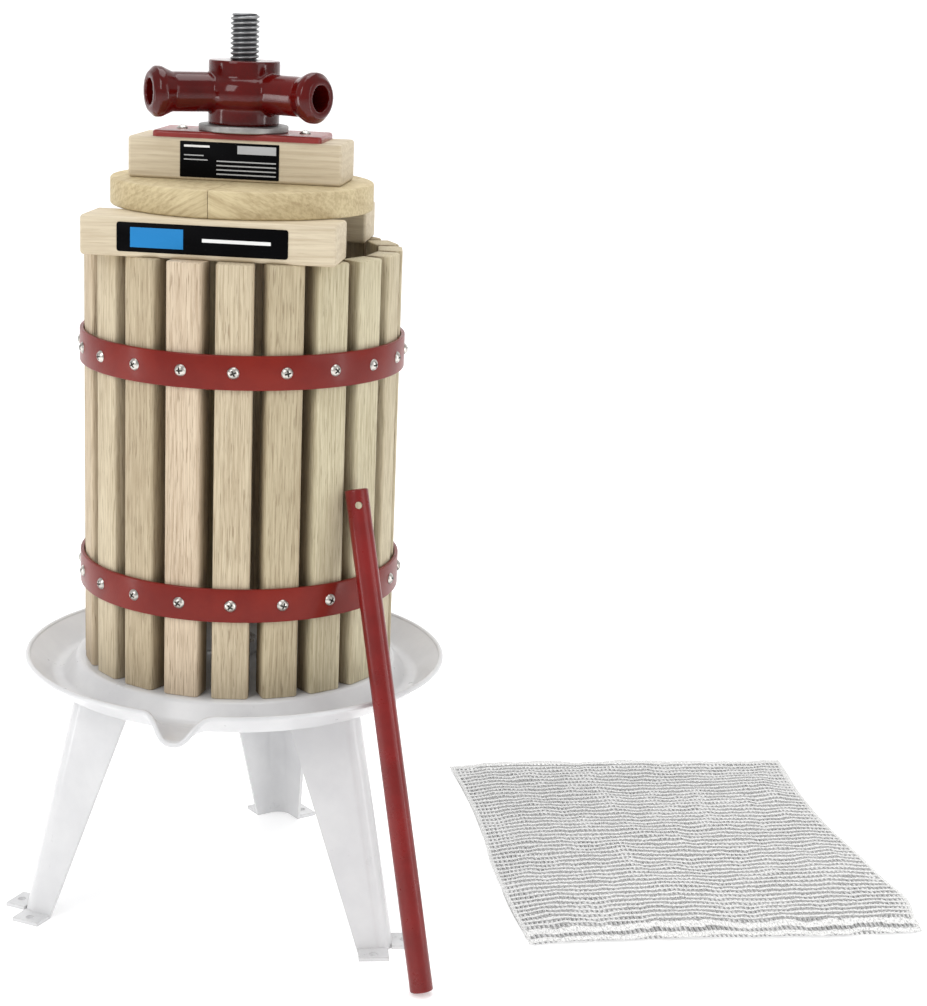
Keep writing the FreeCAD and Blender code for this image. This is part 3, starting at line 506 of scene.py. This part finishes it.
stave_line = []
half, deep, back = SLAT_WIDE / 2, SLAT_THICK / 2, 0.9
for x, y, r, start in ((half, deep, back, 0), (-half, deep, back, 90), (-half, -deep, SLAT_ROUND, 180),
                       (half, -deep, SLAT_ROUND, 270)):
    for n in range(5):
        a = math.radians(start + 22.5 * n)
        stave_line.append(Vector((x - math.copysign(r, x) + r * math.cos(a),
                                  y - math.copysign(r, y) + r * math.sin(a))))
stave = bmesh.new()
levels = [(0, 0.8), (0.25, 0.3), (0.8, 0)] + [(SLAT_HIGH * n / 8, 0) for n in range(1, 8)]
levels += [(SLAT_HIGH - z, e) for z, e in ((0.8, 0), (0.25, 0.3), (0, 0.8))]
loops = [[stave.verts.new(Vector((p.x * (1 - e / half), p.y * (1 - e / deep), z)) * MM) for p in stave_line]
         for z, e in levels]
for low, high in zip(loops, loops[1:]):
    for n in range(len(low)):
        stave.faces.new((low[n], low[(n + 1) % len(low)], high[(n + 1) % len(low)], high[n]))
stave.faces.new(reversed(loops[0]))
stave.faces.new(loops[-1])
stave_mesh = bpy.data.meshes.new("stave")
stave.to_mesh(stave_mesh)
stave.free()
stave_mesh.polygons.foreach_set("use_smooth", [True] * len(stave_mesh.polygons))
stave_mesh.set_sharp_from_angle(angle=math.radians(50))

ring_tree, entry = tree_with("ring of pieces", [
    ("Geometry", "Geometry"), ("Count", "Int"), ("Radius", "Float"), ("Height", "Float"),
    ("First Turn", "Float"), ("Centre X", "Float"), ("Own Spin", "Float"), ("Seed", "Int"),
    ("Metal", "Material")])
index = ring_tree.nodes.new("GeometryNodeInputIndex").outputs[0]
step = calc(ring_tree, "DIVIDE", math.tau, entry["Count"])
angle = total(ring_tree, entry["First Turn"], product(ring_tree, index, step))
aside = product(ring_tree, entry["Radius"], calc(ring_tree, "SINE", angle))
back = product(ring_tree, entry["Radius"], calc(ring_tree, "COSINE", angle), -1)
spot = node(ring_tree, "ShaderNodeCombineXYZ", {
    0: total(ring_tree, entry["Centre X"], aside), 1: back, 2: entry["Height"]}).outputs[0]
spin = node(ring_tree, "FunctionNodeRandomValue", {
    2: product(ring_tree, entry["Own Spin"], -1), 3: entry["Own Spin"], 7: index, 8: entry["Seed"]},
    data_type="FLOAT").outputs[1]
pose = node(ring_tree, "ShaderNodeCombineXYZ", {0: 0.0, 1: spin, 2: angle}).outputs[0]
spots = node(ring_tree, "GeometryNodeMeshLine", {0: entry["Count"], 3: (0, 0, 0)}).outputs[0]
spots = node(ring_tree, "GeometryNodeSetPosition", {0: spots, 2: spot}).outputs[0]
where = ring_tree.nodes.new("GeometryNodeInputPosition").outputs[0]
marked = node(ring_tree, "GeometryNodeStoreNamedAttribute",
              {0: entry["Geometry"], 2: "piece_place", 3: where},
              data_type="FLOAT_VECTOR", domain="POINT").outputs[0]
set_out = node(ring_tree, "GeometryNodeInstanceOnPoints", {0: spots, 2: marked, 5: pose}).outputs[0]
chance = node(ring_tree, "FunctionNodeRandomValue", {2: 0.0, 3: 1.0, 7: index, 8: entry["Seed"]},
              data_type="FLOAT").outputs[1]
toned = node(ring_tree, "GeometryNodeStoreNamedAttribute", {0: set_out, 2: "piece_tone", 3: chance},
             data_type="FLOAT", domain="INSTANCE").outputs[0]
real = node(ring_tree, "GeometryNodeRealizeInstances", {0: toned}).outputs[0]
done = node(ring_tree, "GeometryNodeSetMaterial", {0: real, 2: entry["Metal"]}).outputs[0]
node(ring_tree, "NodeGroupOutput", {0: done})

slats = grown("basket_slats", stave_mesh, ring_tree, Count=SLATS, Radius=(BASKET_OUT - deep) * MM,
              Height=BED * MM, First_Turn=FIRST_TURN, Centre_X=BASKET_X, Own_Spin=0.0, Seed=11, Metal=oak)
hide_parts(*["slat_%02d" % (n + 1) for n in range(SLATS)])
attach(slats, "basket")


# ---- hoops: two bands of 21 mm flat steel, rolled round, welded shut and painted red-brown ----------
# The slats hang on their inside. The paint is semi-gloss and rubbed a little darker on the edges.

hoop_tree, entry = tree_with("flat hoop", [
    ("Geometry", "Geometry"), ("Radius", "Float"), ("Thickness", "Float"), ("Width", "Float"),
    ("Edge", "Float"), ("Height", "Float"), ("Centre X", "Float"), ("Around", "Int"), ("Paint", "Material")])
path = node(hoop_tree, "GeometryNodeCurvePrimitiveCircle",
            {0: entry["Around"], 4: entry["Radius"]}).outputs[0]
band = node(hoop_tree, "GeometryNodeCurvePrimitiveQuadrilateral",
            {0: entry["Thickness"], 1: entry["Width"]}).outputs[0]
band = node(hoop_tree, "GeometryNodeFilletCurve", {0: band, 1: 3, 2: entry["Edge"]}, mode="POLY").outputs[0]
swept = node(hoop_tree, "GeometryNodeCurveToMesh", {0: path, 1: band}).outputs[0]
lifted = node(hoop_tree, "ShaderNodeCombineXYZ", {0: entry["Centre X"], 2: entry["Height"]}).outputs[0]
moved = node(hoop_tree, "GeometryNodeTransform", {0: swept, 1: lifted}).outputs[0]
smooth = node(hoop_tree, "GeometryNodeSetShadeSmooth", {0: moved}).outputs[0]
real = node(hoop_tree, "GeometryNodeRealizeInstances", {0: smooth}).outputs[0]
done = node(hoop_tree, "GeometryNodeSetMaterial", {0: real, 2: entry["Paint"]}).outputs[0]
node(hoop_tree, "NodeGroupOutput", {0: done})

hoop_red = painted("hoop red", (0.205, 0.015, 0.008), (0.16, 0.010, 0.006), (0.10, 0.011, 0.008),
                   ripple=800, gloss=0.32, spread=0.2, reach=0.0008, breakup=0.8, bump=0.15, coat=0.07,
                   shine=0.2)
for name, height in (("lower_hoop", LOWER_HOOP), ("upper_hoop", UPPER_HOOP)):
    hoop = grown(name + "_band", bpy.data.meshes.new(name), hoop_tree, Radius=0.10195, Thickness=0.0025,
                 Width=0.021, Edge=0.0006, Height=height, Centre_X=BASKET_X, Around=160, Paint=hoop_red)
    hoop.data.set_sharp_from_angle(angle=math.radians(40))
    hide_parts(name)
    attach(hoop, "basket")


# ---- screws: bright zinc cross-head wood screws, twenty through each hoop and two in the plate ------
# Each has a domed head 7.4 mm across. They were driven by hand, so their crosses point anyhow.

HEAD, HEAD_HIGH, SHANK, SCREW_LONG = 3.7, 2.2, 1.75, 14.0
BOX_SIDES = ((0, 1, 2, 3), (7, 6, 5, 4), (0, 4, 5, 1), (1, 5, 6, 2), (2, 6, 7, 3), (3, 7, 4, 0))


def screw_mesh(name):
    """A screw whose head faces -Y, with its seat at the origin."""
    shape = bmesh.new()
    dome = (HEAD ** 2 + HEAD_HIGH ** 2) / (2 * HEAD_HIGH)
    profile = [(0.0, HEAD_HIGH)]
    for n in range(1, 7):
        a = math.asin(HEAD / dome) * n / 6
        profile.append((dome * math.sin(a), HEAD_HIGH - dome + dome * math.cos(a)))
    profile += [(HEAD - 0.15, -0.02), (SHANK, -0.02), (SHANK, -SCREW_LONG + 3), (0.0, -SCREW_LONG)]
    turns = 24
    rows = []
    for radius, out in profile:
        count = 1 if radius == 0 else turns
        rows.append([shape.verts.new(Vector((radius * math.cos(math.tau * k / turns), -out,
                                             radius * math.sin(math.tau * k / turns))) * MM)
                     for k in range(count)])
    for first, second in zip(rows, rows[1:]):
        for k in range(turns):
            corners = [first[k % len(first)], first[(k + 1) % len(first)],
                       second[(k + 1) % len(second)], second[k % len(second)]]
            shape.faces.new(list(dict.fromkeys(corners)))
    bmesh.ops.recalc_face_normals(shape, faces=shape.faces)
    head = finished_piece(name, shape, 50)
    cross = bmesh.new()
    for wide, tall in ((4.0, 1.0), (1.0, 4.0)):
        corners = []
        for y, k in ((-HEAD_HIGH - 0.5, 1.0), (-HEAD_HIGH + 1.35, 0.55)):
            for sx, sz in ((-1, -1), (1, -1), (1, 1), (-1, 1)):
                corners.append(cross.verts.new(Vector((sx * wide * k / 2, y, sz * tall * k / 2)) * MM))
        for side in BOX_SIDES:
            cross.faces.new([corners[n] for n in side])
    bmesh.ops.recalc_face_normals(cross, faces=cross.faces)
    driver = finished_piece(name + "_driver", cross)
    cut = head.modifiers.new("cross", "BOOLEAN")
    cut.object, cut.operation, cut.solver, cut.use_self = driver, "DIFFERENCE", "EXACT", True
    mesh = bpy.data.meshes.new_from_object(head.evaluated_get(bpy.context.evaluated_depsgraph_get()))
    bpy.data.objects.remove(head)
    bpy.data.objects.remove(driver)
    return mesh


bright_zinc = plated("bright screw zinc", (0.70, 0.67, 0.62), (0.46, 0.44, 0.41), 0.2, 1600, 0.15)
tree = bright_zinc.node_tree
shader = tree.nodes["Principled BSDF"]
where = node(tree, "ShaderNodeAttribute", {}, attribute_name="piece_place").outputs["Vector"]
# painted shade: the cross recess is painted near black, and the head's colour also darkens towards its rim
from_middle = [calc(tree, "ABSOLUTE", part) for part in apart(tree, where)]
nearer = calc(tree, "MINIMUM", from_middle[0], from_middle[2])
farther = calc(tree, "MAXIMUM", from_middle[0], from_middle[2])
in_cross = product(tree, calc(tree, "LESS_THAN", nearer, 0.00055), calc(tree, "LESS_THAN", farther, 0.0021))
painted_cross_shade_and_dark_rim = calc(tree, "MAXIMUM", product(tree, in_cross, 0.9), ramp(tree, farther, 0.0028, 0.0037, 0.0, 0.45))
zinc_before_painted_shade = shader.inputs["Base Color"].links[0].from_socket
tree.links.new(tint(tree, painted_cross_shade_and_dark_rim, zinc_before_painted_shade, (0.05, 0.045, 0.04, 1)), shader.inputs["Base Color"])
screw = screw_mesh("screw")
for name, height, seed in (("lower_hoop_screws", LOWER_HOOP, 3), ("upper_hoop_screws", UPPER_HOOP, 8)):
    screws = grown(name + "_driven", screw.copy(), ring_tree, Count=SLATS, Radius=0.1032, Height=height,
                   First_Turn=FIRST_TURN, Centre_X=BASKET_X, Own_Spin=0.8, Seed=seed, Metal=bright_zinc)
    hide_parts(name)
    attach(screws, "basket")


# ---- pressing blocks: two loose beech blocks, two half discs and the top block ----------------------
# They are sawn and sanded beech with rounded edges. The half discs push down on the fruit once the
# blocks are stacked on them, and each keeps half of the hole round the spindle.

BLOCKS_TURN, DISCS_TURN = math.radians(-11.5), math.radians(-14.5)


def sanded(name, light, dark, turn, tip, shift, rings):
    """Sanded wood whose grain runs level, along a piece turned about the spindle."""
    material, tree, shader, place = new_material(name)
    level = node(tree, "ShaderNodeMapping", {0: place, 2: (0, 0, -turn)}).outputs[0]
    along = node(tree, "ShaderNodeMapping", {0: level, 2: (0, math.radians(90) + tip, 0)}).outputs[0]
    look = add_effect(tree, wood_tree, Place=along, Light=(*light, 1), Dark=(*dark, 1), Rings=rings,
                      Fibre=540.0, Pores=0.4, Shift=shift)
    wire_up(tree, shader, look.outputs, 0.3, 0.0004)
    return material


pale, mid = (0.655, 0.57, 0.42), (0.48, 0.39, 0.265)
for part, shift, rings, tip in (("front_block", 0.08, 150.0, 0.02), ("rear_block", 0.21, 130.0, -0.02),
                                ("top_block", 0.33, 190.0, 0.01)):
    wood = sanded(part.replace("_", " ") + " beech", pale, mid, BLOCKS_TURN, tip, shift, rings)
    block = clean_copy(part + "_beech", part)
    block.data.materials.append(wood)
warm, brown = (0.62, 0.52, 0.31), (0.40, 0.305, 0.165)
for part, shift, tip, rings in (("left_half_disc", 0.47, 0.5, 230.0), ("right_half_disc", 0.59, -0.42, 75.0)):
    wood = sanded(part.replace("_", " ") + " beech", warm, brown, DISCS_TURN, tip, shift, rings)
    disc = clean_copy(part + "_beech", part)
    disc.data.materials.append(wood)


# ---- pressure plate: red-brown painted steel with rounded edges, screwed on the top block -----------
# Two of the domed screws hold it, and the thrust washer of ground grey steel rides on it.

plate_red = painted("plate red", (0.29, 0.034, 0.03), (0.23, 0.025, 0.021), (0.38, 0.10, 0.085),
                    ripple=900, gloss=0.3, spread=0.2, reach=0.001, breakup=0.7, bump=0.15, coat=0.15,
                    shine=0.3)
plate = clean_copy("pressure_plate_painted", "pressure_plate")
plate.data.materials.append(plate_red)

upturned = screw.copy()
upturned.transform(Matrix.Rotation(math.radians(-90), 4, "X"))
plate_screws = grown("plate_screws_driven", upturned, ring_tree, Count=2, Radius=0.039, Height=0.5105,
                     First_Turn=BLOCKS_TURN + math.radians(90), Centre_X=0.0, Own_Spin=0.0, Seed=5,
                     Metal=bright_zinc)
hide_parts("plate_screws")
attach(plate_screws, "top_block")

ground_steel = plated("ground steel", (0.39, 0.385, 0.375), (0.27, 0.265, 0.26), 0.36, 700, 0.3, metal=0.75)
washer = clean_copy("thrust_washer_ground", "thrust_washer")
washer.data.materials.append(ground_steel)


# ---- labels: black printed film with round corners, stuck on two of the blocks ----------------------
# Their print is plain: a blank blue panel on the lower one, and a grey panel with ruled lines on the
# rating plate. Neither has any lettering.

def film(name, part, long, high, corner, out, aside, middle, lines):
    """A label stuck on a block's front face, with its own print."""
    shape = bmesh.new()
    line = []
    for x, z, start in ((1, 1, 0), (-1, 1, 90), (-1, -1, 180), (1, -1, 270)):
        for n in range(6):
            a = math.radians(start + 18 * n)
            line.append((x * (long / 2 - corner) + corner * math.cos(a),
                         z * (high / 2 - corner) + corner * math.sin(a)))
    turned = Matrix.Rotation(BLOCKS_TURN, 4, "Z")
    levels = []
    for depth, inset in ((0.0, 0.0), (0.3, 0.0), (0.4, 0.12)):
        narrow, low = 1 - 2 * inset / long, 1 - 2 * inset / high
        levels.append([
            shape.verts.new(turned @ Vector((aside + x * narrow, -out - depth, middle + z * low)) * MM)
            for x, z in line])
    for low, top in zip(levels, levels[1:]):
        for n in range(len(low)):
            shape.faces.new((low[n], low[(n + 1) % len(low)], top[(n + 1) % len(low)], top[n]))
    shape.faces.new(levels[0])
    shape.faces.new(levels[-1])
    bmesh.ops.recalc_face_normals(shape, faces=shape.faces)
    prints = shape.loops.layers.uv.new("print")
    for face in shape.faces:
        for loop in face.loops:
            back = turned.inverted() @ loop.vert.co / MM
            loop[prints].uv = ((back.x - aside) / long + 0.5, (back.z - middle) / high + 0.5)
    label = finished_piece(name, shape)
    material, tree, shader, place = new_material(name.replace("_", " "))
    spot = apart(tree, node(tree, "ShaderNodeUVMap", {}, uv_map="print").outputs[0])

    def panel(left, right, low, top):
        return product(
            tree, calc(tree, "GREATER_THAN", spot[0], left), calc(tree, "LESS_THAN", spot[0], right),
            calc(tree, "GREATER_THAN", spot[1], low), calc(tree, "LESS_THAN", spot[1], top))

    scuff = ramp(tree, cloud(tree, place, 700, 4, 0.7), 0.6, 0.78)
    colour = tint(tree, scuff, (0.002, 0.002, 0.0025, 1), (0.008, 0.008, 0.009, 1))
    for (left, right, low, top), ink in lines:
        colour = tint(tree, panel(left, right, low, top), colour, (*ink, 1))
    tree.links.new(colour, shader.inputs["Base Color"])
    tree.links.new(total(tree, 0.4, product(tree, scuff, 0.25)), shader.inputs["Roughness"])
    shader.inputs["Specular IOR Level"].default_value = 0.03
    bumpy(tree, shader, cloud(tree, place, 500, 2), 0.1, 0.0002)
    label.data.materials.append(material)
    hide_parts(part)
    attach(label, frame["nodes"][part]["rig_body"])


blue, white, grey = (0.025, 0.21, 0.50), (0.78, 0.78, 0.77), (0.45, 0.46, 0.47)
film("block_label_film", "block_label", 103.5, 17.5, 1.6, 88.5, -6.0, 452.0,
     [((0.08, 0.39, 0.16, 0.84), blue), ((0.5, 0.9, 0.44, 0.56), white)])
film("top_label_film", "top_label", 62.0, 22.0, 0.5, 25.0, -3.5, 493.75,
     [((0.58, 0.97, 0.7, 0.93), grey)]
     + [((0.04, 0.3, 0.84, 0.9), white), ((0.04, 0.24, 0.6, 0.63), grey), ((0.04, 0.28, 0.48, 0.51), grey)]
     + [((0.37, 0.97, z, z + 0.035), grey) for z in (0.1, 0.22, 0.34, 0.46)])


# ---- hub: one iron casting, a threaded boss with three arms that end in bell-mouthed sockets --------
# The lever goes into a socket to turn it. Its corners keep the mould's soft fillets under a thick,
# glossy red-brown enamel, and only the thread and the foot are machined.

hub = clean_copy("hub_cast", "hub")
melt = hub.modifiers.new("mould", "REMESH")
melt.mode, melt.voxel_size, melt.use_smooth_shade = "VOXEL", 0.0008, True
soften = hub.modifiers.new("fillets", "SMOOTH")
soften.factor, soften.iterations = 0.5, 4
cast = bpy.data.meshes.new_from_object(hub.evaluated_get(bpy.context.evaluated_depsgraph_get()))
hub.modifiers.clear()
hub.data = cast
hub.data.materials.clear()
hub.data.materials.append(painted(
    "hub enamel", (0.105, 0.0022, 0.0015), (0.062, 0.0015, 0.001), (0.19, 0.015, 0.012),
    ripple=330, gloss=0.18, spread=0.16, reach=0.0012, breakup=0.8, bump=0.3, coat=0.6, shine=0.05))


# ---- lever: a round steel bar with a cross hole near its top, in the same red-brown paint -----------
# It is loose: it stands on the floor and leans on the basket until it is put into a socket.

lever = clean_copy("lever_bar", "lever", sharp=40, ease=0.0002)
lever.data.materials.append(painted(
    "lever red", (0.205, 0.011, 0.010), (0.15, 0.008, 0.007), (0.10, 0.010, 0.009),
    ripple=500, gloss=0.3, spread=0.25, reach=0.0008, breakup=0.7, bump=0.25, coat=0.15, shine=0.3))


# ---- filter bag: an open white net, cut in one length, folded at the foot and sewn up both sides ----
# It lies flat beside the press with its mouth away from the front. Stout yarns run across it in
# rows and fine threads run up it, and the two layers part where the cloth has crept.

BAG_WIDE, BAG_LONG, BAG_CORNER, BAG_TURN = 0.266, 0.318, Vector((0.192, -0.098, 0)), math.radians(4)
NET_ACROSS, NET_ALONG = 76, 184


def bag_point(side, run):
    """A point of the folded net: side goes from seam to seam, run from mouth to mouth."""
    upper = run > 0.5
    down = abs(2 * run - 1)
    place = Vector((side * 3.1, down * 3.7, 7.3 if upper else 2.1))
    creep = noise.noise(place) * 0.0022
    x = side * BAG_WIDE
    y = (0.012 + down * (BAG_LONG - 0.012)) if down > 0.03 else 0.012 * (down / 0.03) ** 0.5
    edge = min(side, 1 - side)
    fold = math.sin(min(1, down / 0.03) * math.pi / 2)
    loose = 0.55 + 0.45 * noise.noise(Vector((side * 5, down * 6, 0.4)))
    gap = 0.0016 + 0.0036 * smooth_step(edge * 9) * loose
    wrinkle = 0.0011 * noise.noise(Vector((side * 16, down * 9, 3.3)))
    wrinkle += 0.0007 * noise.noise(Vector((side * 34, down * 30, 9.1)))
    z = 0.0009 + gap * 0.5 + (0.5 * gap + wrinkle * smooth_step(edge * 12)) * fold * (1 if upper else -0.35)
    outline = 0.0035 * math.sin(down * 7.0) * (1 if side > 0.5 else -0.6) * abs(2 * side - 1) ** 2
    bulge = 0.007 * math.exp(-((down - 0.12) / 0.1) ** 2) * smooth_step((side - 0.55) * 2.2)
    sag = 0.003 * math.sin(side * 5.2 + 0.6)
    local = Vector((x + outline + bulge + creep, y + sag + creep * 0.7, z))
    return BAG_CORNER + Matrix.Rotation(BAG_TURN, 3, "Z") @ local


cloth = bmesh.new()
weave = cloth.loops.layers.uv.new("weave")
grid = [[cloth.verts.new(bag_point(i / NET_ACROSS, j / NET_ALONG)) for i in range(NET_ACROSS + 1)]
        for j in range(NET_ALONG + 1)]
for j in range(NET_ALONG):
    for i in range(NET_ACROSS):
        face = cloth.faces.new((grid[j][i], grid[j][i + 1], grid[j + 1][i + 1], grid[j + 1][i]))
        for loop, (a, b) in zip(face.loops, ((i, j), (i + 1, j), (i + 1, j + 1), (i, j + 1))):
            loop[weave].uv = (a / NET_ACROSS, b / NET_ALONG)
bag = finished_piece("filter_bag_net", cloth, 80)

net, tree, shader, place = new_material("white net")
uv = node(tree, "ShaderNodeUVMap", {}, uv_map="weave").outputs[0]
scaled = node(tree, "ShaderNodeMapping", {0: uv, 3: (BAG_WIDE, 2 * BAG_LONG, 1)}).outputs[0]
wander = node(tree, "ShaderNodeTexNoise", {0: scaled, 2: 55, 3: 3}).outputs[1]
wander = node(tree, "ShaderNodeVectorMath", {0: wander, 1: (0.5, 0.5, 0.5)}, operation="SUBTRACT").outputs[0]
wander = node(tree, "ShaderNodeVectorMath", {0: wander, "Scale": 0.005}, operation="SCALE").outputs[0]
crept = node(tree, "ShaderNodeVectorMath", {0: scaled, 1: wander}, operation="ADD").outputs[0]
parted = apart(tree, crept)


def yarn(position, pitch, thick):
    """How near a point is to the middle of a yarn: 1 on it and 0 between two."""
    along = calc(tree, "FRACT", calc(tree, "DIVIDE", position, pitch))
    offset = calc(tree, "ABSOLUTE", less(tree, along, 0.5))
    return ramp(tree, offset, thick, product(tree, thick, 0.45))


fuzz = cloud(tree, scaled, 900, 3, 0.6)
row_thick = total(tree, 0.14, product(tree, cloud(tree, scaled, 240, 2), 0.3))
rows = yarn(parted[1], 0.0066, row_thick)
threads = product(tree, yarn(parted[0], 0.0032, 0.26), ramp(tree, fuzz, 0.22, 0.4))
stitches = calc(tree, "MAXIMUM", rows, threads)
thin_net = product(tree, total(tree, 0.55, product(tree, fuzz, 0.75)), stitches)
flat_uv = apart(tree, uv)
edge_in = calc(tree, "MINIMUM", flat_uv[0], less(tree, 1, flat_uv[0]))
mouth_in = calc(tree, "MINIMUM", flat_uv[1], less(tree, 1, flat_uv[1]))
hem = calc(tree, "MAXIMUM", ramp(tree, edge_in, 0.014, 0.008), ramp(tree, mouth_in, 0.009, 0.005))
cover = calc(tree, "MAXIMUM", product(tree, hem, 0.9), thin_net)
tree.links.new(calc(tree, "MINIMUM", total(tree, cover, 0.04), 1), shader.inputs["Alpha"])
# painted shade: the fine threads and the spaces between the rows are dark grey, and only the stout rows and
# the hem keep the pale yarn colour
spun = tint(tree, ramp(tree, fuzz, 0.3, 0.55), (0.42, 0.42, 0.42, 1), (0.84, 0.84, 0.83, 1))
rows_over_painted_shade = ramp(tree, calc(tree, "MAXIMUM", rows, hem), 0.1, 0.8)
tree.links.new(tint(tree, rows_over_painted_shade, (0.30, 0.30, 0.30, 1), spun), shader.inputs["Base Color"])
tree.links.new(total(tree, 0.7, product(tree, fuzz, 0.25)), shader.inputs["Roughness"])
bumpy(tree, shader, total(tree, stitches, fuzz), 0.8, 0.0006)
shader.inputs["Sheen Weight"].default_value = 0.3
bag.data.materials.append(net)
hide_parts("filter_bag")
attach(bag, "stand")


# ---- studio: a pale floor that curves up into a backdrop, and soft light from three sides -----------

sweep = bmesh.new()
side_line = [(-6.0, 0.0), (2.0, 0.0)]
for n in range(1, 13):
    a = math.radians(7.5 * n)
    side_line.append((2.0 + 1.2 * math.sin(a), 1.2 - 1.2 * math.cos(a)))
side_line.append((3.2, 6.0))
strip = [[sweep.verts.new((x, y, z)) for x in (-8.0, 8.0)] for y, z in side_line]
for first, second in zip(strip, strip[1:]):
    sweep.faces.new((first[0], first[1], second[1], second[0]))
floor = finished_piece("floor", sweep, 30)
paper, tree, shader, place = new_material("pale floor")
mottle = cloud(tree, place, 3, 3)
tree.links.new(tint(tree, mottle, (0.90, 0.90, 0.90, 1), (0.93, 0.93, 0.93, 1)), shader.inputs["Base Color"])
shader.inputs["Roughness"].default_value = 0.9
shader.inputs["Specular IOR Level"].default_value = 0.1
shader.inputs["Emission Color"].default_value = (1, 1, 1, 1)
shader.inputs["Emission Strength"].default_value = 0.36
floor.data.materials.append(paper)

for name, spot, aim, power, wide, tall in (
        ("key", (-1.3, -1.6, 1.7), (0, 0, 0.35), 22, 1.1, 1.4),
        ("fill", (1.7, -1.1, 1.0), (0, 0, 0.35), 7, 1.0, 1.4),
        ("top", (0.1, 0.3, 2.1), (0.05, 0, 0.3), 19, 1.4, 1.4),
        ("right strip", (1.15, -0.42, 0.27), (0, 0, 0.5), 1.4, 0.10, 0.6),
        ("left strip", (-1.15, -0.25, 0.30), (0, 0, 0.5), 1.5, 0.12, 0.6)):
    light = bpy.data.lights.new(name, "AREA")
    light.energy, light.shape, light.size, light.size_y = power, "RECTANGLE", wide, tall
    lamp = bpy.data.objects.new(name, light)
    lamp.location = spot
    lamp.visible_camera = False
    lamp.rotation_euler = (Vector(aim) - Vector(spot)).to_track_quat("-Z", "Y").to_euler()
    bpy.context.scene.collection.objects.link(lamp)

sky = bpy.data.worlds.new("studio air")
sky.use_nodes = True
sky.node_tree.nodes["Background"].inputs["Color"].default_value = (1, 1, 1, 1)
sky.node_tree.nodes["Background"].inputs["Strength"].default_value = 0.5
bpy.context.scene.world = sky
bpy.context.scene.view_settings.view_transform = "Standard"
